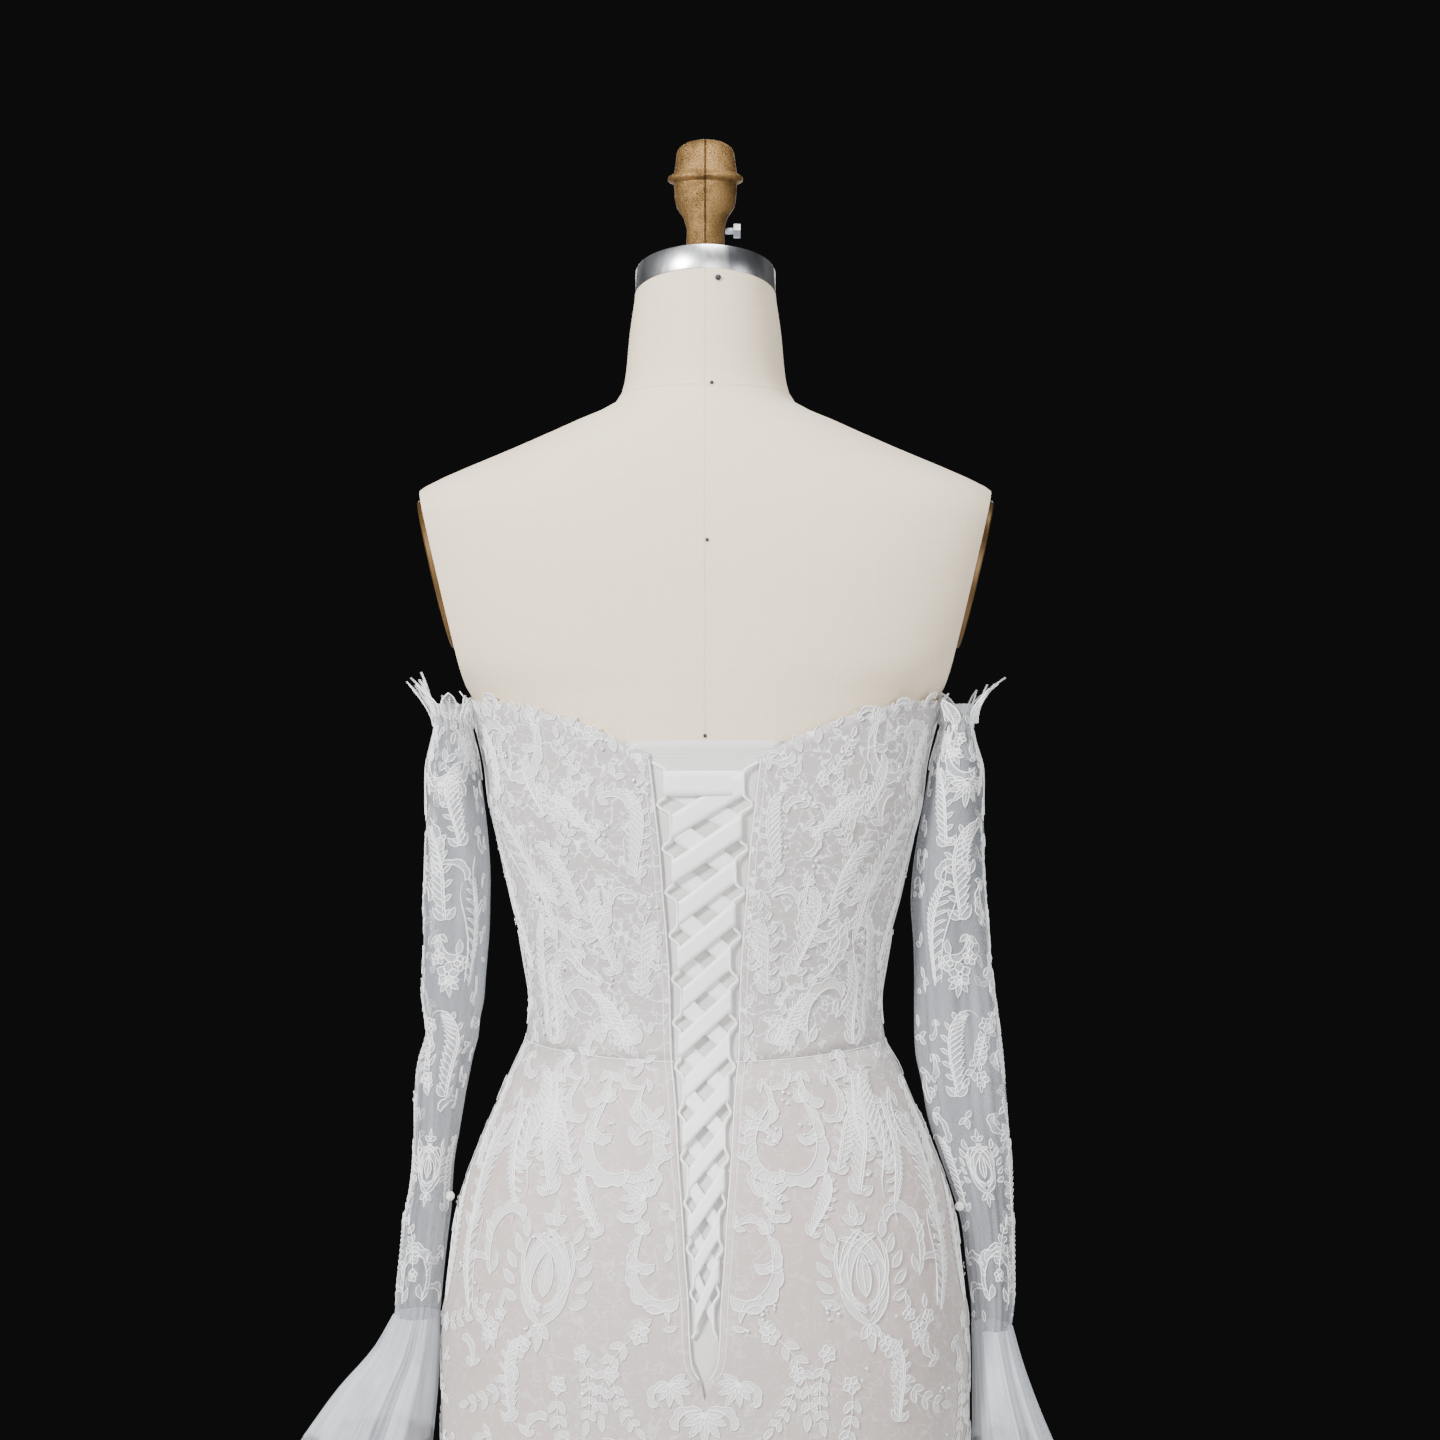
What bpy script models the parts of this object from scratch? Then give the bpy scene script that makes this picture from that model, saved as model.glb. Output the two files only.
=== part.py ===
"""Mermaid gown with a lace-up back and long sheer sleeves, standing on a limbless dress form.

Metres, +Z up, the gown's back towards -Y. The origin is the middle of the stand's underside.
A spot on the cloth is given by its turn round the figure, in radians from the centre back towards +X,
and by its height. Every layer is made from those spots, moved out or in along the cloth's normal.
"""

import math

import bmesh
import bpy
from mathutils import Matrix, Vector

# Driving sizes
SEAM_GAP = 0.0003
CLOTH = 0.0016
NET = 0.0012
FORM_UNDER_CLOTH = 0.0045
PANEL_LIFTS = (-0.0037, -0.0025)
PANEL_TOP_Z, PANEL_TUCK, PANEL_COLUMNS = 1.2865, 0.014, 8
LACE_LIFTS = (0.0003, 0.0013)
WAIST_Z = 1.0815
WAIST_DIP = 0.009
HEM_Z = 0.008
FLUTES = 14
CUP_RISE, CUP_X, CUP_Z, CUP_SPREAD, CUP_TALL = 0.020, 0.074, 1.240, 0.048, 0.052

FORM_BOTTOM_Z = 0.780
NECK_TOP_Z = 1.591
NECK_TILT = 0.30
BASE_RADIUS, BASE_THICK, POLE_RADIUS = 0.190, 0.018, 0.016

LOOPS = 13
LOOP_TOP_Z, LOOP_PITCH = 1.2582, 0.0291
RIBBON_THICK, RIBBON_HALF_WIDE, RIBBON_NARROWS = 0.0009, 0.0083, 0.14
CORD_RADIUS = 0.0010
OVER_LIFT, UNDER_LIFT = 0.00285, -0.00105


def table(columns, *rows):
    """Rows of a short table as one list for each named column."""
    return {name: [row[i] for row in rows] for i, name in enumerate(columns.split())}


FIGURE = table(
    "z half_width back front squareness tilt flute",
    (0.008, 0.385, 0.425, 0.325, 2.0, 0, 0.026),
    (0.100, 0.336, 0.362, 0.284, 2.0, 0, 0.021),
    (0.200, 0.280, 0.290, 0.234, 2.0, 0, 0.014),
    (0.300, 0.228, 0.224, 0.186, 2.1, 0, 0.007),
    (0.400, 0.189, 0.165, 0.144, 2.1, 0, 0.002),
    (0.500, 0.172, 0.128, 0.113, 2.1, 0, 0),
    (0.600, 0.171, 0.114, 0.102, 2.1, 0, 0),
    (0.720, 0.177, 0.114, 0.100, 2.2, 0, 0),
    (0.820, 0.1815, 0.120, 0.101, 2.2, 0, 0),
    (0.882, 0.1806, 0.122, 0.101, 2.2, 0, 0),
    (0.925, 0.1766, 0.119, 0.100, 2.2, 0, 0),
    (0.963, 0.171, 0.114, 0.099, 2.2, 0, 0),
    (1.015, 0.1534, 0.102, 0.095, 2.2, 0, 0),
    (1.039, 0.143, 0.095, 0.092, 2.2, 0, 0),
    (1.065, 0.132, 0.087, 0.0895, 2.2, 0, 0),
    (1.0815, 0.1235, 0.0825, 0.0875, 2.2, 0, 0),
    (1.1075, 0.1205, 0.0805, 0.087, 2.2, 0, 0),
    (1.134, 0.1242, 0.0825, 0.089, 2.2, 0, 0),
    (1.164, 0.130, 0.086, 0.092, 2.3, 0, 0),
    (1.191, 0.1363, 0.0895, 0.097, 2.3, 0, 0),
    (1.221, 0.1431, 0.093, 0.103, 2.4, 0, 0),
    (1.243, 0.1482, 0.095, 0.106, 2.4, 0, 0),
    (1.2685, 0.1512, 0.096, 0.106, 2.4, 0, 0),
    (1.300, 0.159, 0.097, 0.102, 2.4, 0, 0),
    (1.314, 0.164, 0.0975, 0.099, 2.4, 0, 0),
    (1.338, 0.184, 0.098, 0.094, 2.5, 0, 0),
    (1.400, 0.203, 0.097, 0.084, 2.6, 0, 0),
    (1.440, 0.210, 0.092, 0.078, 2.6, 0.02, 0),
    (1.457, 0.203, 0.088, 0.074, 2.5, 0.04, 0),
    (1.464, 0.192, 0.086, 0.073, 2.4, 0.05, 0),
    (1.4728, 0.1725, 0.083, 0.071, 2.3, 0.07, 0),
    (1.4845, 0.1438, 0.078, 0.069, 2.2, 0.09, 0),
    (1.5045, 0.0974, 0.067, 0.066, 2.1, 0.12, 0),
    (1.5204, 0.064, 0.058, 0.061, 2.0, 0.15, 0),
    (1.535, 0.0595, 0.055, 0.058, 2.0, 0.18, 0),
    (1.565, 0.0565, 0.053, 0.054, 2.0, 0.24, 0),
    (1.591, 0.0527, 0.0515, 0.0515, 2.0, 0.30, 0),
)
PRINCESS_SEAM = table(
    "z turn",
    (0.00, 42), (0.80, 40), (0.98, 38), (1.03, 36), (1.08, 38), (1.13, 36), (1.22, 31), (1.30, 28),
)
FRONT_SEAM = table("z turn", (0.00, 135), (0.80, 138), (1.08, 140), (1.24, 143), (1.33, 146))
NECKLINE = table(
    "turn top",
    (0, 1.2775), (9.5, 1.278), (17, 1.2868), (25, 1.296), (33, 1.303), (57, 1.312), (90, 1.314),
    (115, 1.320), (135, 1.334), (150, 1.338), (165, 1.322), (180, 1.300),
)
PLACKET = table(
    "z half_gap",
    (0.850, SEAM_GAP / 2), (0.864, 0.0012), (0.876, 0.0075), (0.889, 0.0092), (0.918, 0.0103),
    (0.945, 0.0125), (0.976, 0.0143), (1.010, 0.0170), (1.046, 0.0190), (1.080, 0.0220),
    (1.125, 0.0232), (1.155, 0.0250), (1.185, 0.0275), (1.213, 0.0295), (1.240, 0.0325), (1.280, 0.0372),
)
SLEEVE_DEPTH = table(
    "z half_deep fold",
    (0.890, 0.030, 0.02), (0.960, 0.033, 0.05), (1.060, 0.042, 0.09),
    (1.150, 0.048, 0.10), (1.230, 0.052, 0.06), (1.290, 0.056, 0.02), (1.312, 0.058, 0),
)
SLEEVES = {
    "left": table(
        "z middle_x half_wide",
        (0.892, 0.1979, 0.0160), (0.909, 0.1962, 0.0160), (0.933, 0.1938, 0.0160),
        (0.963, 0.1906, 0.0165), (0.977, 0.1884, 0.0150), (0.995, 0.1868, 0.0145),
        (1.015, 0.1850, 0.0160), (1.041, 0.1828, 0.0182), (1.065, 0.1794, 0.0194),
        (1.088, 0.1740, 0.0190), (1.112, 0.1741, 0.0229), (1.134, 0.1730, 0.0234),
        (1.154, 0.1720, 0.0240), (1.176, 0.1717, 0.0243), (1.198, 0.1709, 0.0235),
        (1.221, 0.1713, 0.0223), (1.245, 0.1726, 0.0208), (1.2685, 0.1737, 0.0190),
        (1.286, 0.1735, 0.0148), (1.3015, 0.1742, 0.0112), (1.311, 0.1772, 0.0102),
    ),
    "right": table(
        "z middle_x half_wide",
        (0.884, 0.1965, 0.0140), (0.896, 0.1972, 0.0150), (0.920, 0.1958, 0.0165),
        (0.953, 0.1938, 0.0185), (0.980, 0.1896, 0.0220), (1.004, 0.1850, 0.0258),
        (1.027, 0.1808, 0.0288), (1.053, 0.1778, 0.0303), (1.071, 0.1752, 0.0316),
        (1.103, 0.1728, 0.0300), (1.128, 0.1712, 0.0284), (1.150, 0.1697, 0.0276),
        (1.174, 0.1680, 0.0276), (1.198, 0.1677, 0.0257), (1.221, 0.1692, 0.0237),
        (1.245, 0.1710, 0.0210), (1.2685, 0.1726, 0.0187), (1.286, 0.1723, 0.0134),
        (1.3015, 0.1733, 0.0104), (1.311, 0.1768, 0.0098),
    ),
}
CUFFS = {
    "left": table(
        "drop middle_x half_wide half_deep wave",
        (0.000, 0.1979, 0.0160, 0.030, 0.0008), (0.022, 0.2035, 0.0212, 0.039, 0.0028),
        (0.052, 0.2163, 0.0325, 0.057, 0.0047),
        (0.086, 0.2295, 0.0425, 0.078, 0.0060),
    ),
    "right": table(
        "drop middle_x half_wide half_deep wave",
        (0.000, 0.1965, 0.0140, 0.030, 0.0008), (0.022, 0.1993, 0.0160, 0.040, 0.0020),
        (0.052, 0.2042, 0.0204, 0.059, 0.0032),
        (0.086, 0.2110, 0.0268, 0.080, 0.0040),
    ),
}
CUFF_WAVES = 9
CROWN_LEAVES = 9
FINIAL = table(
    "z radius",
    (0.0000, 0.0132), (0.0092, 0.0128), (0.0171, 0.0145), (0.0237, 0.0184), (0.0303, 0.0204),
    (0.0368, 0.0211), (0.0408, 0.0221), (0.0421, 0.0257), (0.0441, 0.0259), (0.0461, 0.0243),
    (0.0480, 0.0217), (0.0566, 0.0204), (0.0632, 0.0191), (0.0671, 0.0158), (0.0697, 0.0105), (0.0708, 0.0),
)
FINISHES = table(
    "name colour roughness metallic",
    ("lace", (0.90, 0.90, 0.91), 0.6, 0), ("tulle", (0.80, 0.84, 0.88), 0.6, 0),
    ("satin_ribbon", (0.95, 0.95, 0.94), 0.35, 0), ("satin_panel", (0.88, 0.88, 0.88), 0.45, 0),
    ("form_linen", (0.86, 0.82, 0.75), 0.9, 0), ("steel", (0.62, 0.62, 0.63), 0.3, 1),
    ("gold_paint", (0.55, 0.36, 0.14), 0.4, 0.8), ("armhole_brown", (0.17, 0.09, 0.04), 0.4, 0),
    ("stand_black", (0.05, 0.05, 0.05), 0.5, 0.3), ("pearl", (0.93, 0.92, 0.88), 0.25, 0),
)


def read(rows, column, place, along="z"):
    """The column's value at a place, on a smooth curve through the rows that never overshoots them."""
    knots, values = rows[along], rows[column]
    low = max(i for i in range(len(knots) - 1) if i == 0 or knots[i] <= place)
    span = knots[low + 1] - knots[low]
    part = min(1.0, max(0.0, (place - knots[low]) / span))
    slopes = []
    for i in (low, low + 1):
        if 0 < i < len(knots) - 1:
            before = (values[i] - values[i - 1]) / (knots[i] - knots[i - 1])
            after = (values[i + 1] - values[i]) / (knots[i + 1] - knots[i])
            slopes.append(2 * before * after / (before + after) if before * after > 0 else 0.0)
        else:
            slopes.append((values[low + 1] - values[low]) / span)
    square, cube = part * part, part * part * part
    return (
        values[low] * (2 * cube - 3 * square + 1)
        + slopes[0] * span * (cube - 2 * square + part)
        + values[low + 1] * (3 * square - 2 * cube)
        + slopes[1] * span * (cube - square)
    )


def power(value, exponent):
    """The value's size raised to the exponent, with the value's sign."""
    return math.copysign(abs(value) ** exponent, value)


def bell(distance, spread):
    return math.exp(-((distance / spread) ** 2))


def figure_point(turn, z):
    """A point on the gown's outer surface, or on the form's where the gown ends."""
    exponent = 2 / read(FIGURE, "squareness", z)
    across, towards_back = power(math.sin(turn), exponent), power(math.cos(turn), exponent)
    depth = read(FIGURE, "back" if towards_back > 0 else "front", z)
    x = read(FIGURE, "half_width", z) * across
    y = -depth * towards_back
    if y > 0:
        y += CUP_RISE * bell(abs(x) - CUP_X, CUP_SPREAD) * bell(z - CUP_Z, CUP_TALL)
    swing = read(FIGURE, "flute", z) * math.cos(FLUTES * turn) * (0.8 + 0.2 * math.cos(3 * turn))
    away = math.hypot(x, y)
    return Vector((x * (1 + swing / away), y * (1 + swing / away), z - read(FIGURE, "tilt", z) * y))


def normal_of(point_at, turn, z, turn_step=math.radians(0.6), z_step=0.002):
    """The outward normal of a surface given by a function of turn and height."""
    round_it = point_at(turn + turn_step, z) - point_at(turn - turn_step, z)
    up_it = point_at(turn, z + z_step) - point_at(turn, z - z_step)
    return round_it.cross(up_it).normalized()


def cloth_point(turn, z, lift):
    return figure_point(turn, z) + normal_of(figure_point, turn, z) * lift


def turn_at(x, z):
    """The turn at which the back of the figure reaches this x at this height."""
    share = abs(x) / read(FIGURE, "half_width", z)
    return math.copysign(math.asin(share ** (read(FIGURE, "squareness", z) / 2)), x)


def back_point(x, z, lift):
    return cloth_point(turn_at(x, z), z, lift)


def neckline(turn):
    return read(NECKLINE, "top", abs(math.degrees(turn)), along="turn")


def waist(turn):
    return WAIST_Z - WAIST_DIP * math.cos(turn) ** 2


# Making meshes
def finish(name, mesh_builder, material, smooth_angle=40):
    """Turns a bmesh into a named object in the gown's collection."""
    bmesh.ops.recalc_face_normals(mesh_builder, faces=mesh_builder.faces)
    if mesh_builder.calc_volume(signed=True) < 0:
        bmesh.ops.reverse_faces(mesh_builder, faces=mesh_builder.faces)
    mesh = bpy.data.meshes.new(name)
    mesh_builder.to_mesh(mesh)
    mesh_builder.free()
    mesh.shade_smooth()
    mesh.set_sharp_from_angle(angle=math.radians(smooth_angle))
    mesh.materials.append(bpy.data.materials[material])
    thing = bpy.data.objects.new(name, mesh)
    bpy.data.collections["mermaid_gown"].objects.link(thing)
    return thing


def wall(name, outside, inside, material, closed=False):
    """A cloth wall between two grids of points, rows upwards. A closed wall goes all the way round."""
    builder = bmesh.new()
    skins = [[[builder.verts.new(p) for p in row] for row in grid] for grid in (outside, inside)]
    rows, columns = len(outside), len(outside[0])
    steps = columns if closed else columns - 1

    def two_triangles(a, b, c, d):
        builder.faces.new((a, b, c))
        builder.faces.new((a, c, d))

    for skin in skins:
        for r in range(rows - 1):
            for c in range(steps):
                right = (c + 1) % columns
                two_triangles(skin[r][c], skin[r][right], skin[r + 1][right], skin[r + 1][c])
    out, inner = skins
    for r in (0, rows - 1):
        for c in range(steps):
            right = (c + 1) % columns
            two_triangles(out[r][c], out[r][right], inner[r][right], inner[r][c])
    if not closed:
        for c in (0, columns - 1):
            for r in range(rows - 1):
                two_triangles(out[r][c], out[r + 1][c], inner[r + 1][c], inner[r][c])
    return finish(name, builder, material)


def panel_spots(edges, heights, columns):
    """The turns and heights of a panel's points, row by row. edges are two functions of height that
    give a turn, and heights is a function of turn that gives the rows, from lower to upper edge."""
    probe = 0.01
    spots = []
    for r in range(len(heights(0.0))):
        row = []
        for c in range(columns + 1):
            share = c / columns
            turn = (edges[0](WAIST_Z) + edges[1](WAIST_Z)) / 2
            for _ in range(3):
                z = heights(turn)[r]
                arc = (figure_point(turn + probe, z) - figure_point(turn, z)).length / probe
                trim = SEAM_GAP / 2 / arc
                turn = (edges[0](z) + trim) * (1 - share) + (edges[1](z) - trim) * share
            row.append((turn, z))
        spots.append(row)
    return spots


def cloth_wall(name, spots, lifts, material):
    outside, inside = (
        [[cloth_point(turn, z, lift) for turn, z in row] for row in spots]
        for lift in (max(lifts), min(lifts))
    )
    return wall(name, outside, inside, material)


# The gown
BODICE_Z = (1.1075, 1.145, 1.185, 1.220, 1.250)
SKIRT_Z = (
    HEM_Z, 0.070, 0.140, 0.210, 0.280, 0.350, 0.430, 0.530, 0.660, 0.790,
    0.864, 0.877, 0.930, 0.985, 1.040,
)
FORM_Z = (
    FORM_BOTTOM_Z, 0.864, 0.930, 0.985, 1.040, 1.0775, 1.1075, 1.145, 1.185, 1.220, 1.250, 1.285,
    1.320, 1.360, 1.410, 1.440, 1.455, 1.465, 1.478, 1.495, 1.515, 1.530, 1.560, 1.605,
)


def bodice_heights(turn):
    top = neckline(turn)
    return (waist(turn) + SEAM_GAP / 2, *BODICE_Z, (BODICE_Z[-1] + top) / 2, top)


def skirt_heights(turn):
    return (*SKIRT_Z, waist(turn) - SEAM_GAP / 2)


def placket_turn(z):
    return turn_at(read(PLACKET, "half_gap", max(z, PLACKET["z"][0])), z)


def princess_turn(z):
    return math.radians(read(PRINCESS_SEAM, "turn", z))


def side_turn(z):
    return math.radians(90)


def front_turn(z):
    return math.radians(read(FRONT_SEAM, "turn", z))


def mirrored(edges, side):
    """The same two seams on the figure's other side, still in the order of rising turn."""
    if side > 0:
        return edges
    return tuple((lambda z, edge=edge: -edge(z)) for edge in reversed(edges))


def across_front():
    """The seams of a centre front panel, which runs past the half turn."""
    return front_turn, lambda z: math.tau - front_turn(z)


def from_turn(turn):
    """The same turn, from -180 to 180 degrees."""
    return math.remainder(turn, math.tau)


def make_panels():
    """The bodice's and the skirt's panels, and the scalloped lace along the neckline, which lies on
    the bodice's upper rows."""
    cuts = (
        ("back", (placket_turn, princess_turn), 4, 7),
        ("side_back", (princess_turn, side_turn), 10, 8),
        ("side_front", (side_turn, front_turn), 8, 7),
    )
    for side_name, side in (("left", -1), ("right", 1)):
        tops = {}
        for cut_name, edges, bodice_columns, skirt_columns in cuts:
            both = mirrored(edges, side)
            bodice = panel_spots(both, bodice_heights, bodice_columns)
            skirt = panel_spots(both, skirt_heights, skirt_columns)
            cloth_wall(f"bodice_{cut_name}_{side_name}", bodice, (-CLOTH, 0), "lace")
            cloth_wall(f"skirt_{cut_name}_{side_name}", skirt, (-CLOTH, 0), "lace")
            tops[cut_name] = bodice
        backs = (tops["back"], tops["side_back"])
        neckline_lace(f"neckline_lace_back_{side_name}", backs[::side], side < 0)
        neckline_lace(f"neckline_lace_side_{side_name}", [tops["side_front"]], side < 0)
    bodice = panel_spots(across_front(), lambda t: bodice_heights(from_turn(t)), 12)
    skirt = panel_spots(across_front(), lambda t: skirt_heights(from_turn(t)), 14)
    cloth_wall("bodice_front", bodice, (-CLOTH, 0), "lace")
    cloth_wall("skirt_front", skirt, (-CLOTH, 0), "lace")
    neckline_lace("neckline_lace_front", [bodice], False)


SCALLOP_TALL, SCALLOP_FOOT = 0.0065, 0.0010
LEAF_TALL, LEAF_LEAN = 0.022, 0.010


def neckline_lace(name, panels, odd_first):
    """A length of scalloped lace on the upper rows of one or two panels, with every second point raised."""
    middle, top = (
        [spot for i, panel in enumerate(panels) for spot in panel[r][min(i, 1):]] for r in (-2, -1)
    )
    scallops = [
        (turn, z + SCALLOP_FOOT + SCALLOP_TALL * ((c + odd_first * (len(top) % 2 == 0)) % 2))
        for c, (turn, z) in enumerate(top)
    ]
    cloth_wall(name, [middle, top, scallops], LACE_LIFTS, "lace")


def make_modesty_panel():
    """The satin panel behind the lacing."""
    low, top = PLACKET["z"][0], PANEL_TOP_Z
    heights = [low, low + 0.020, *(z for z in FORM_Z if low + 0.040 < z < PLACKET["z"][-1]), top]
    shares = [2 * c / PANEL_COLUMNS - 1 for c in range(PANEL_COLUMNS + 1)]
    halves = [read(PLACKET, "half_gap", z) + PANEL_TUCK for z in heights]
    outside, inside = (
        [[back_point(half * share, z, lift) for share in shares] for half, z in zip(halves, heights)]
        for lift in (max(PANEL_LIFTS), min(PANEL_LIFTS))
    )
    wall("modesty_panel", outside, inside, "satin_panel")


def loop_z(level):
    return LOOP_TOP_Z - level * LOOP_PITCH


LOOP_REACH = table("z reach", (0.90, 0.0044), (1.03, 0.0050), (1.10, 0.0068), (1.26, 0.0092))


def fold_x(level):
    """How far from the centre back the ribbon folds round a loop's cord."""
    z = loop_z(level)
    return read(PLACKET, "half_gap", z) - read(LOOP_REACH, "reach", z)


def make_loop_cords():
    """One scalloped cord down each placket edge. Its loops stand in through the ribbon's folds."""
    middle_lift = (OVER_LIFT + UNDER_LIFT) / 2
    loop = table(
        "rise reach lift",
        (0.0112, 0.50, 0.0003), (0.0086, 0.04, 0.0008), (0.0, 0.0, middle_lift),
        (-0.0086, 0.04, 0.0008), (-0.0112, 0.50, 0.0003),
    )
    cusp_in, cusp_lift, end_rise = CORD_RADIUS + 0.0004, -0.0003, 0.0135

    def cusp(side, z):
        return back_point(side * (read(PLACKET, "half_gap", z) - cusp_in), z, cusp_lift)

    for side_name, side in (("left", -1), ("right", 1)):
        points = [cusp(side, loop_z(0) + end_rise)]
        for level in range(LOOPS):
            for rise, reach, lift in zip(loop["rise"], loop["reach"], loop["lift"]):
                z = loop_z(level) + rise
                edge = read(PLACKET, "half_gap", z) - cusp_in
                x = fold_x(level) + reach * (edge - fold_x(level))
                points.append(back_point(side * x, z, lift))
            last = level == LOOPS - 1
            points.append(cusp(side, loop_z(level) - (end_rise if last else LOOP_PITCH / 2)))
        tube(f"loop_cord_{side_name}", points, CORD_RADIUS, "satin_ribbon")


def tube(name, points, radius, material):
    """A four-sided cord through the points."""
    curve = bpy.data.curves.new(name, "CURVE")
    curve.dimensions = "3D"
    curve.bevel_depth = radius
    curve.bevel_resolution = 0
    curve.use_fill_caps = True
    spline = curve.splines.new("POLY")
    spline.points.add(len(points) - 1)
    for spot, point in zip(spline.points, points):
        spot.co = (*point, 1)
    curve.materials.append(bpy.data.materials[material])
    thing = bpy.data.objects.new(name, curve)
    bpy.data.collections["mermaid_gown"].objects.link(thing)


def ribbon_route():
    """The lacing as (x, z, lift) down its middle: one ribbon, crossing between the loops at each level."""
    middle, radius = (OVER_LIFT + UNDER_LIFT) / 2, (OVER_LIFT - UNDER_LIFT) / 2
    fold_steps, run_steps = 3, 2

    def fold(side, level, downwards):
        """Half a turn round a loop's cord: from the upper layer to the lower one, or back."""
        spots = []
        for step in range(fold_steps + 1):
            angle = math.pi * step / fold_steps
            out, rise = radius * math.sin(angle), radius * math.cos(angle)
            lift = middle + (rise if downwards else -rise)
            spots.append((side * (fold_x(level) + out), loop_z(level), lift))
        return spots

    def run(start, end):
        """The straight stretch between two folds, without its ends."""
        shares = [step / run_steps for step in range(1, run_steps)]
        return [tuple(a + (b - a) * share for a, b in zip(start, end)) for share in shares]

    halves = []
    for side in (1, -1):
        # From the top, this half starts in the upper layer on the right, or in the lower one on the left
        route, upper, here = [], side > 0, side
        for level in range(1, LOOPS):
            lift = OVER_LIFT if upper else UNDER_LIFT
            start = (here * fold_x(level - 1), loop_z(level - 1), lift)
            end = (-here * fold_x(level), loop_z(level), lift)
            route += run(start, end)
            here = -here
            last = level == LOOPS - 1
            route += [end] if last else fold(here, level, upper)
            upper = not upper
        halves.append(route)
    top_right, top_left = fold(1, 0, False), fold(-1, 0, True)
    across = run(top_left[0], top_right[0])
    return list(reversed(halves[1])) + list(reversed(top_left)) + across + top_right + halves[0]


def make_ribbon():
    route = ribbon_route()
    builder = bmesh.new()
    sections = []
    for i, (x, z, lift) in enumerate(route):
        before, after = route[max(i - 1, 0)], route[min(i + 1, len(route) - 1)]
        along = Vector((after[0] - before[0], after[2] - before[2])).normalized()
        thick_x, thick_lift = -along.y * RIBBON_THICK / 2, along.x * RIBBON_THICK / 2
        up = (z - loop_z(LOOPS - 1)) / (loop_z(0) - loop_z(LOOPS - 1))
        half = RIBBON_HALF_WIDE * (1 - RIBBON_NARROWS * (1 - up))
        corners = ((half, 1), (-half, 1), (-half, -1), (half, -1))
        sections.append([
            builder.verts.new(back_point(x + way * thick_x, z + rise, lift + way * thick_lift))
            for rise, way in corners
        ])
    for first, second in zip(sections, sections[1:]):
        for k in range(4):
            m = (k + 1) % 4
            builder.faces.new((first[k], first[m], second[m]))
            builder.faces.new((first[k], second[m], second[k]))
    builder.faces.new(sections[0])
    builder.faces.new(sections[-1])
    finish("lacing_ribbon", builder, "satin_ribbon")


# The sleeves. An angle of 0 faces away from the body, and side is -1 for the left sleeve
SLEEVE_COLUMNS, SLEEVE_ROWS, CUFF_COLUMNS = 2 * CROWN_LEAVES, 10, 36
PEARL_COLUMN, PEARL_ROW, PEARL_RADIUS = 11, 2, 0.0034


def sleeve_surface(side_name, side):
    rows = SLEEVES[side_name]

    def point(angle, z):
        fold = read(SLEEVE_DEPTH, "fold", z) * (1 - math.cos(5 * angle + 9 * z)) / 2
        x = read(rows, "middle_x", z) + read(rows, "half_wide", z) * math.cos(angle) * (1 - fold)
        y = read(SLEEVE_DEPTH, "half_deep", z) * math.sin(angle) * (1 - fold)
        return Vector((side * x, y, z))

    return point


def cuff_surface(side_name, side):
    rows, seam_z = CUFFS[side_name], SLEEVES[side_name]["z"][0] - SEAM_GAP

    def point(angle, z):
        drop = seam_z - z
        middle, half_wide, half_deep, wave = (
            read(rows, column, drop, along="drop")
            for column in ("middle_x", "half_wide", "half_deep", "wave")
        )
        # The ruffle lies flat on the side that faces the skirt
        free = min(1.0, 0.5 + 0.5 * math.cos(angle) + 0.5 * abs(math.sin(angle)))
        wave *= free * math.cos(CUFF_WAVES * angle + 0.6)
        x = middle + (half_wide + wave) * math.cos(angle)
        y = (half_deep + wave) * math.sin(angle)
        return Vector((side * x, y, z))

    return point


def round_grid(surface, side, heights, columns, lift, top_rise=None):
    """A grid of points round a tube, moved out along its normal. top_rise lifts the last row."""
    grid = []
    for r, z in enumerate(heights):
        row = []
        for c in range(columns):
            angle = math.tau * c / columns
            spot = surface(angle, z) - normal_of(surface, angle, z) * (-side * lift)
            if top_rise and r == len(heights) - 1:
                spot += top_rise(angle)
            row.append(spot)
        grid.append(row)
    return grid


def tube_wall(name, surface, side, heights, columns, lifts, material, top_rise=None):
    outside, inside = (
        round_grid(surface, side, heights, columns, lift, top_rise) for lift in (max(lifts), min(lifts))
    )
    return wall(name, outside, inside, material, closed=True)


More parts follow.
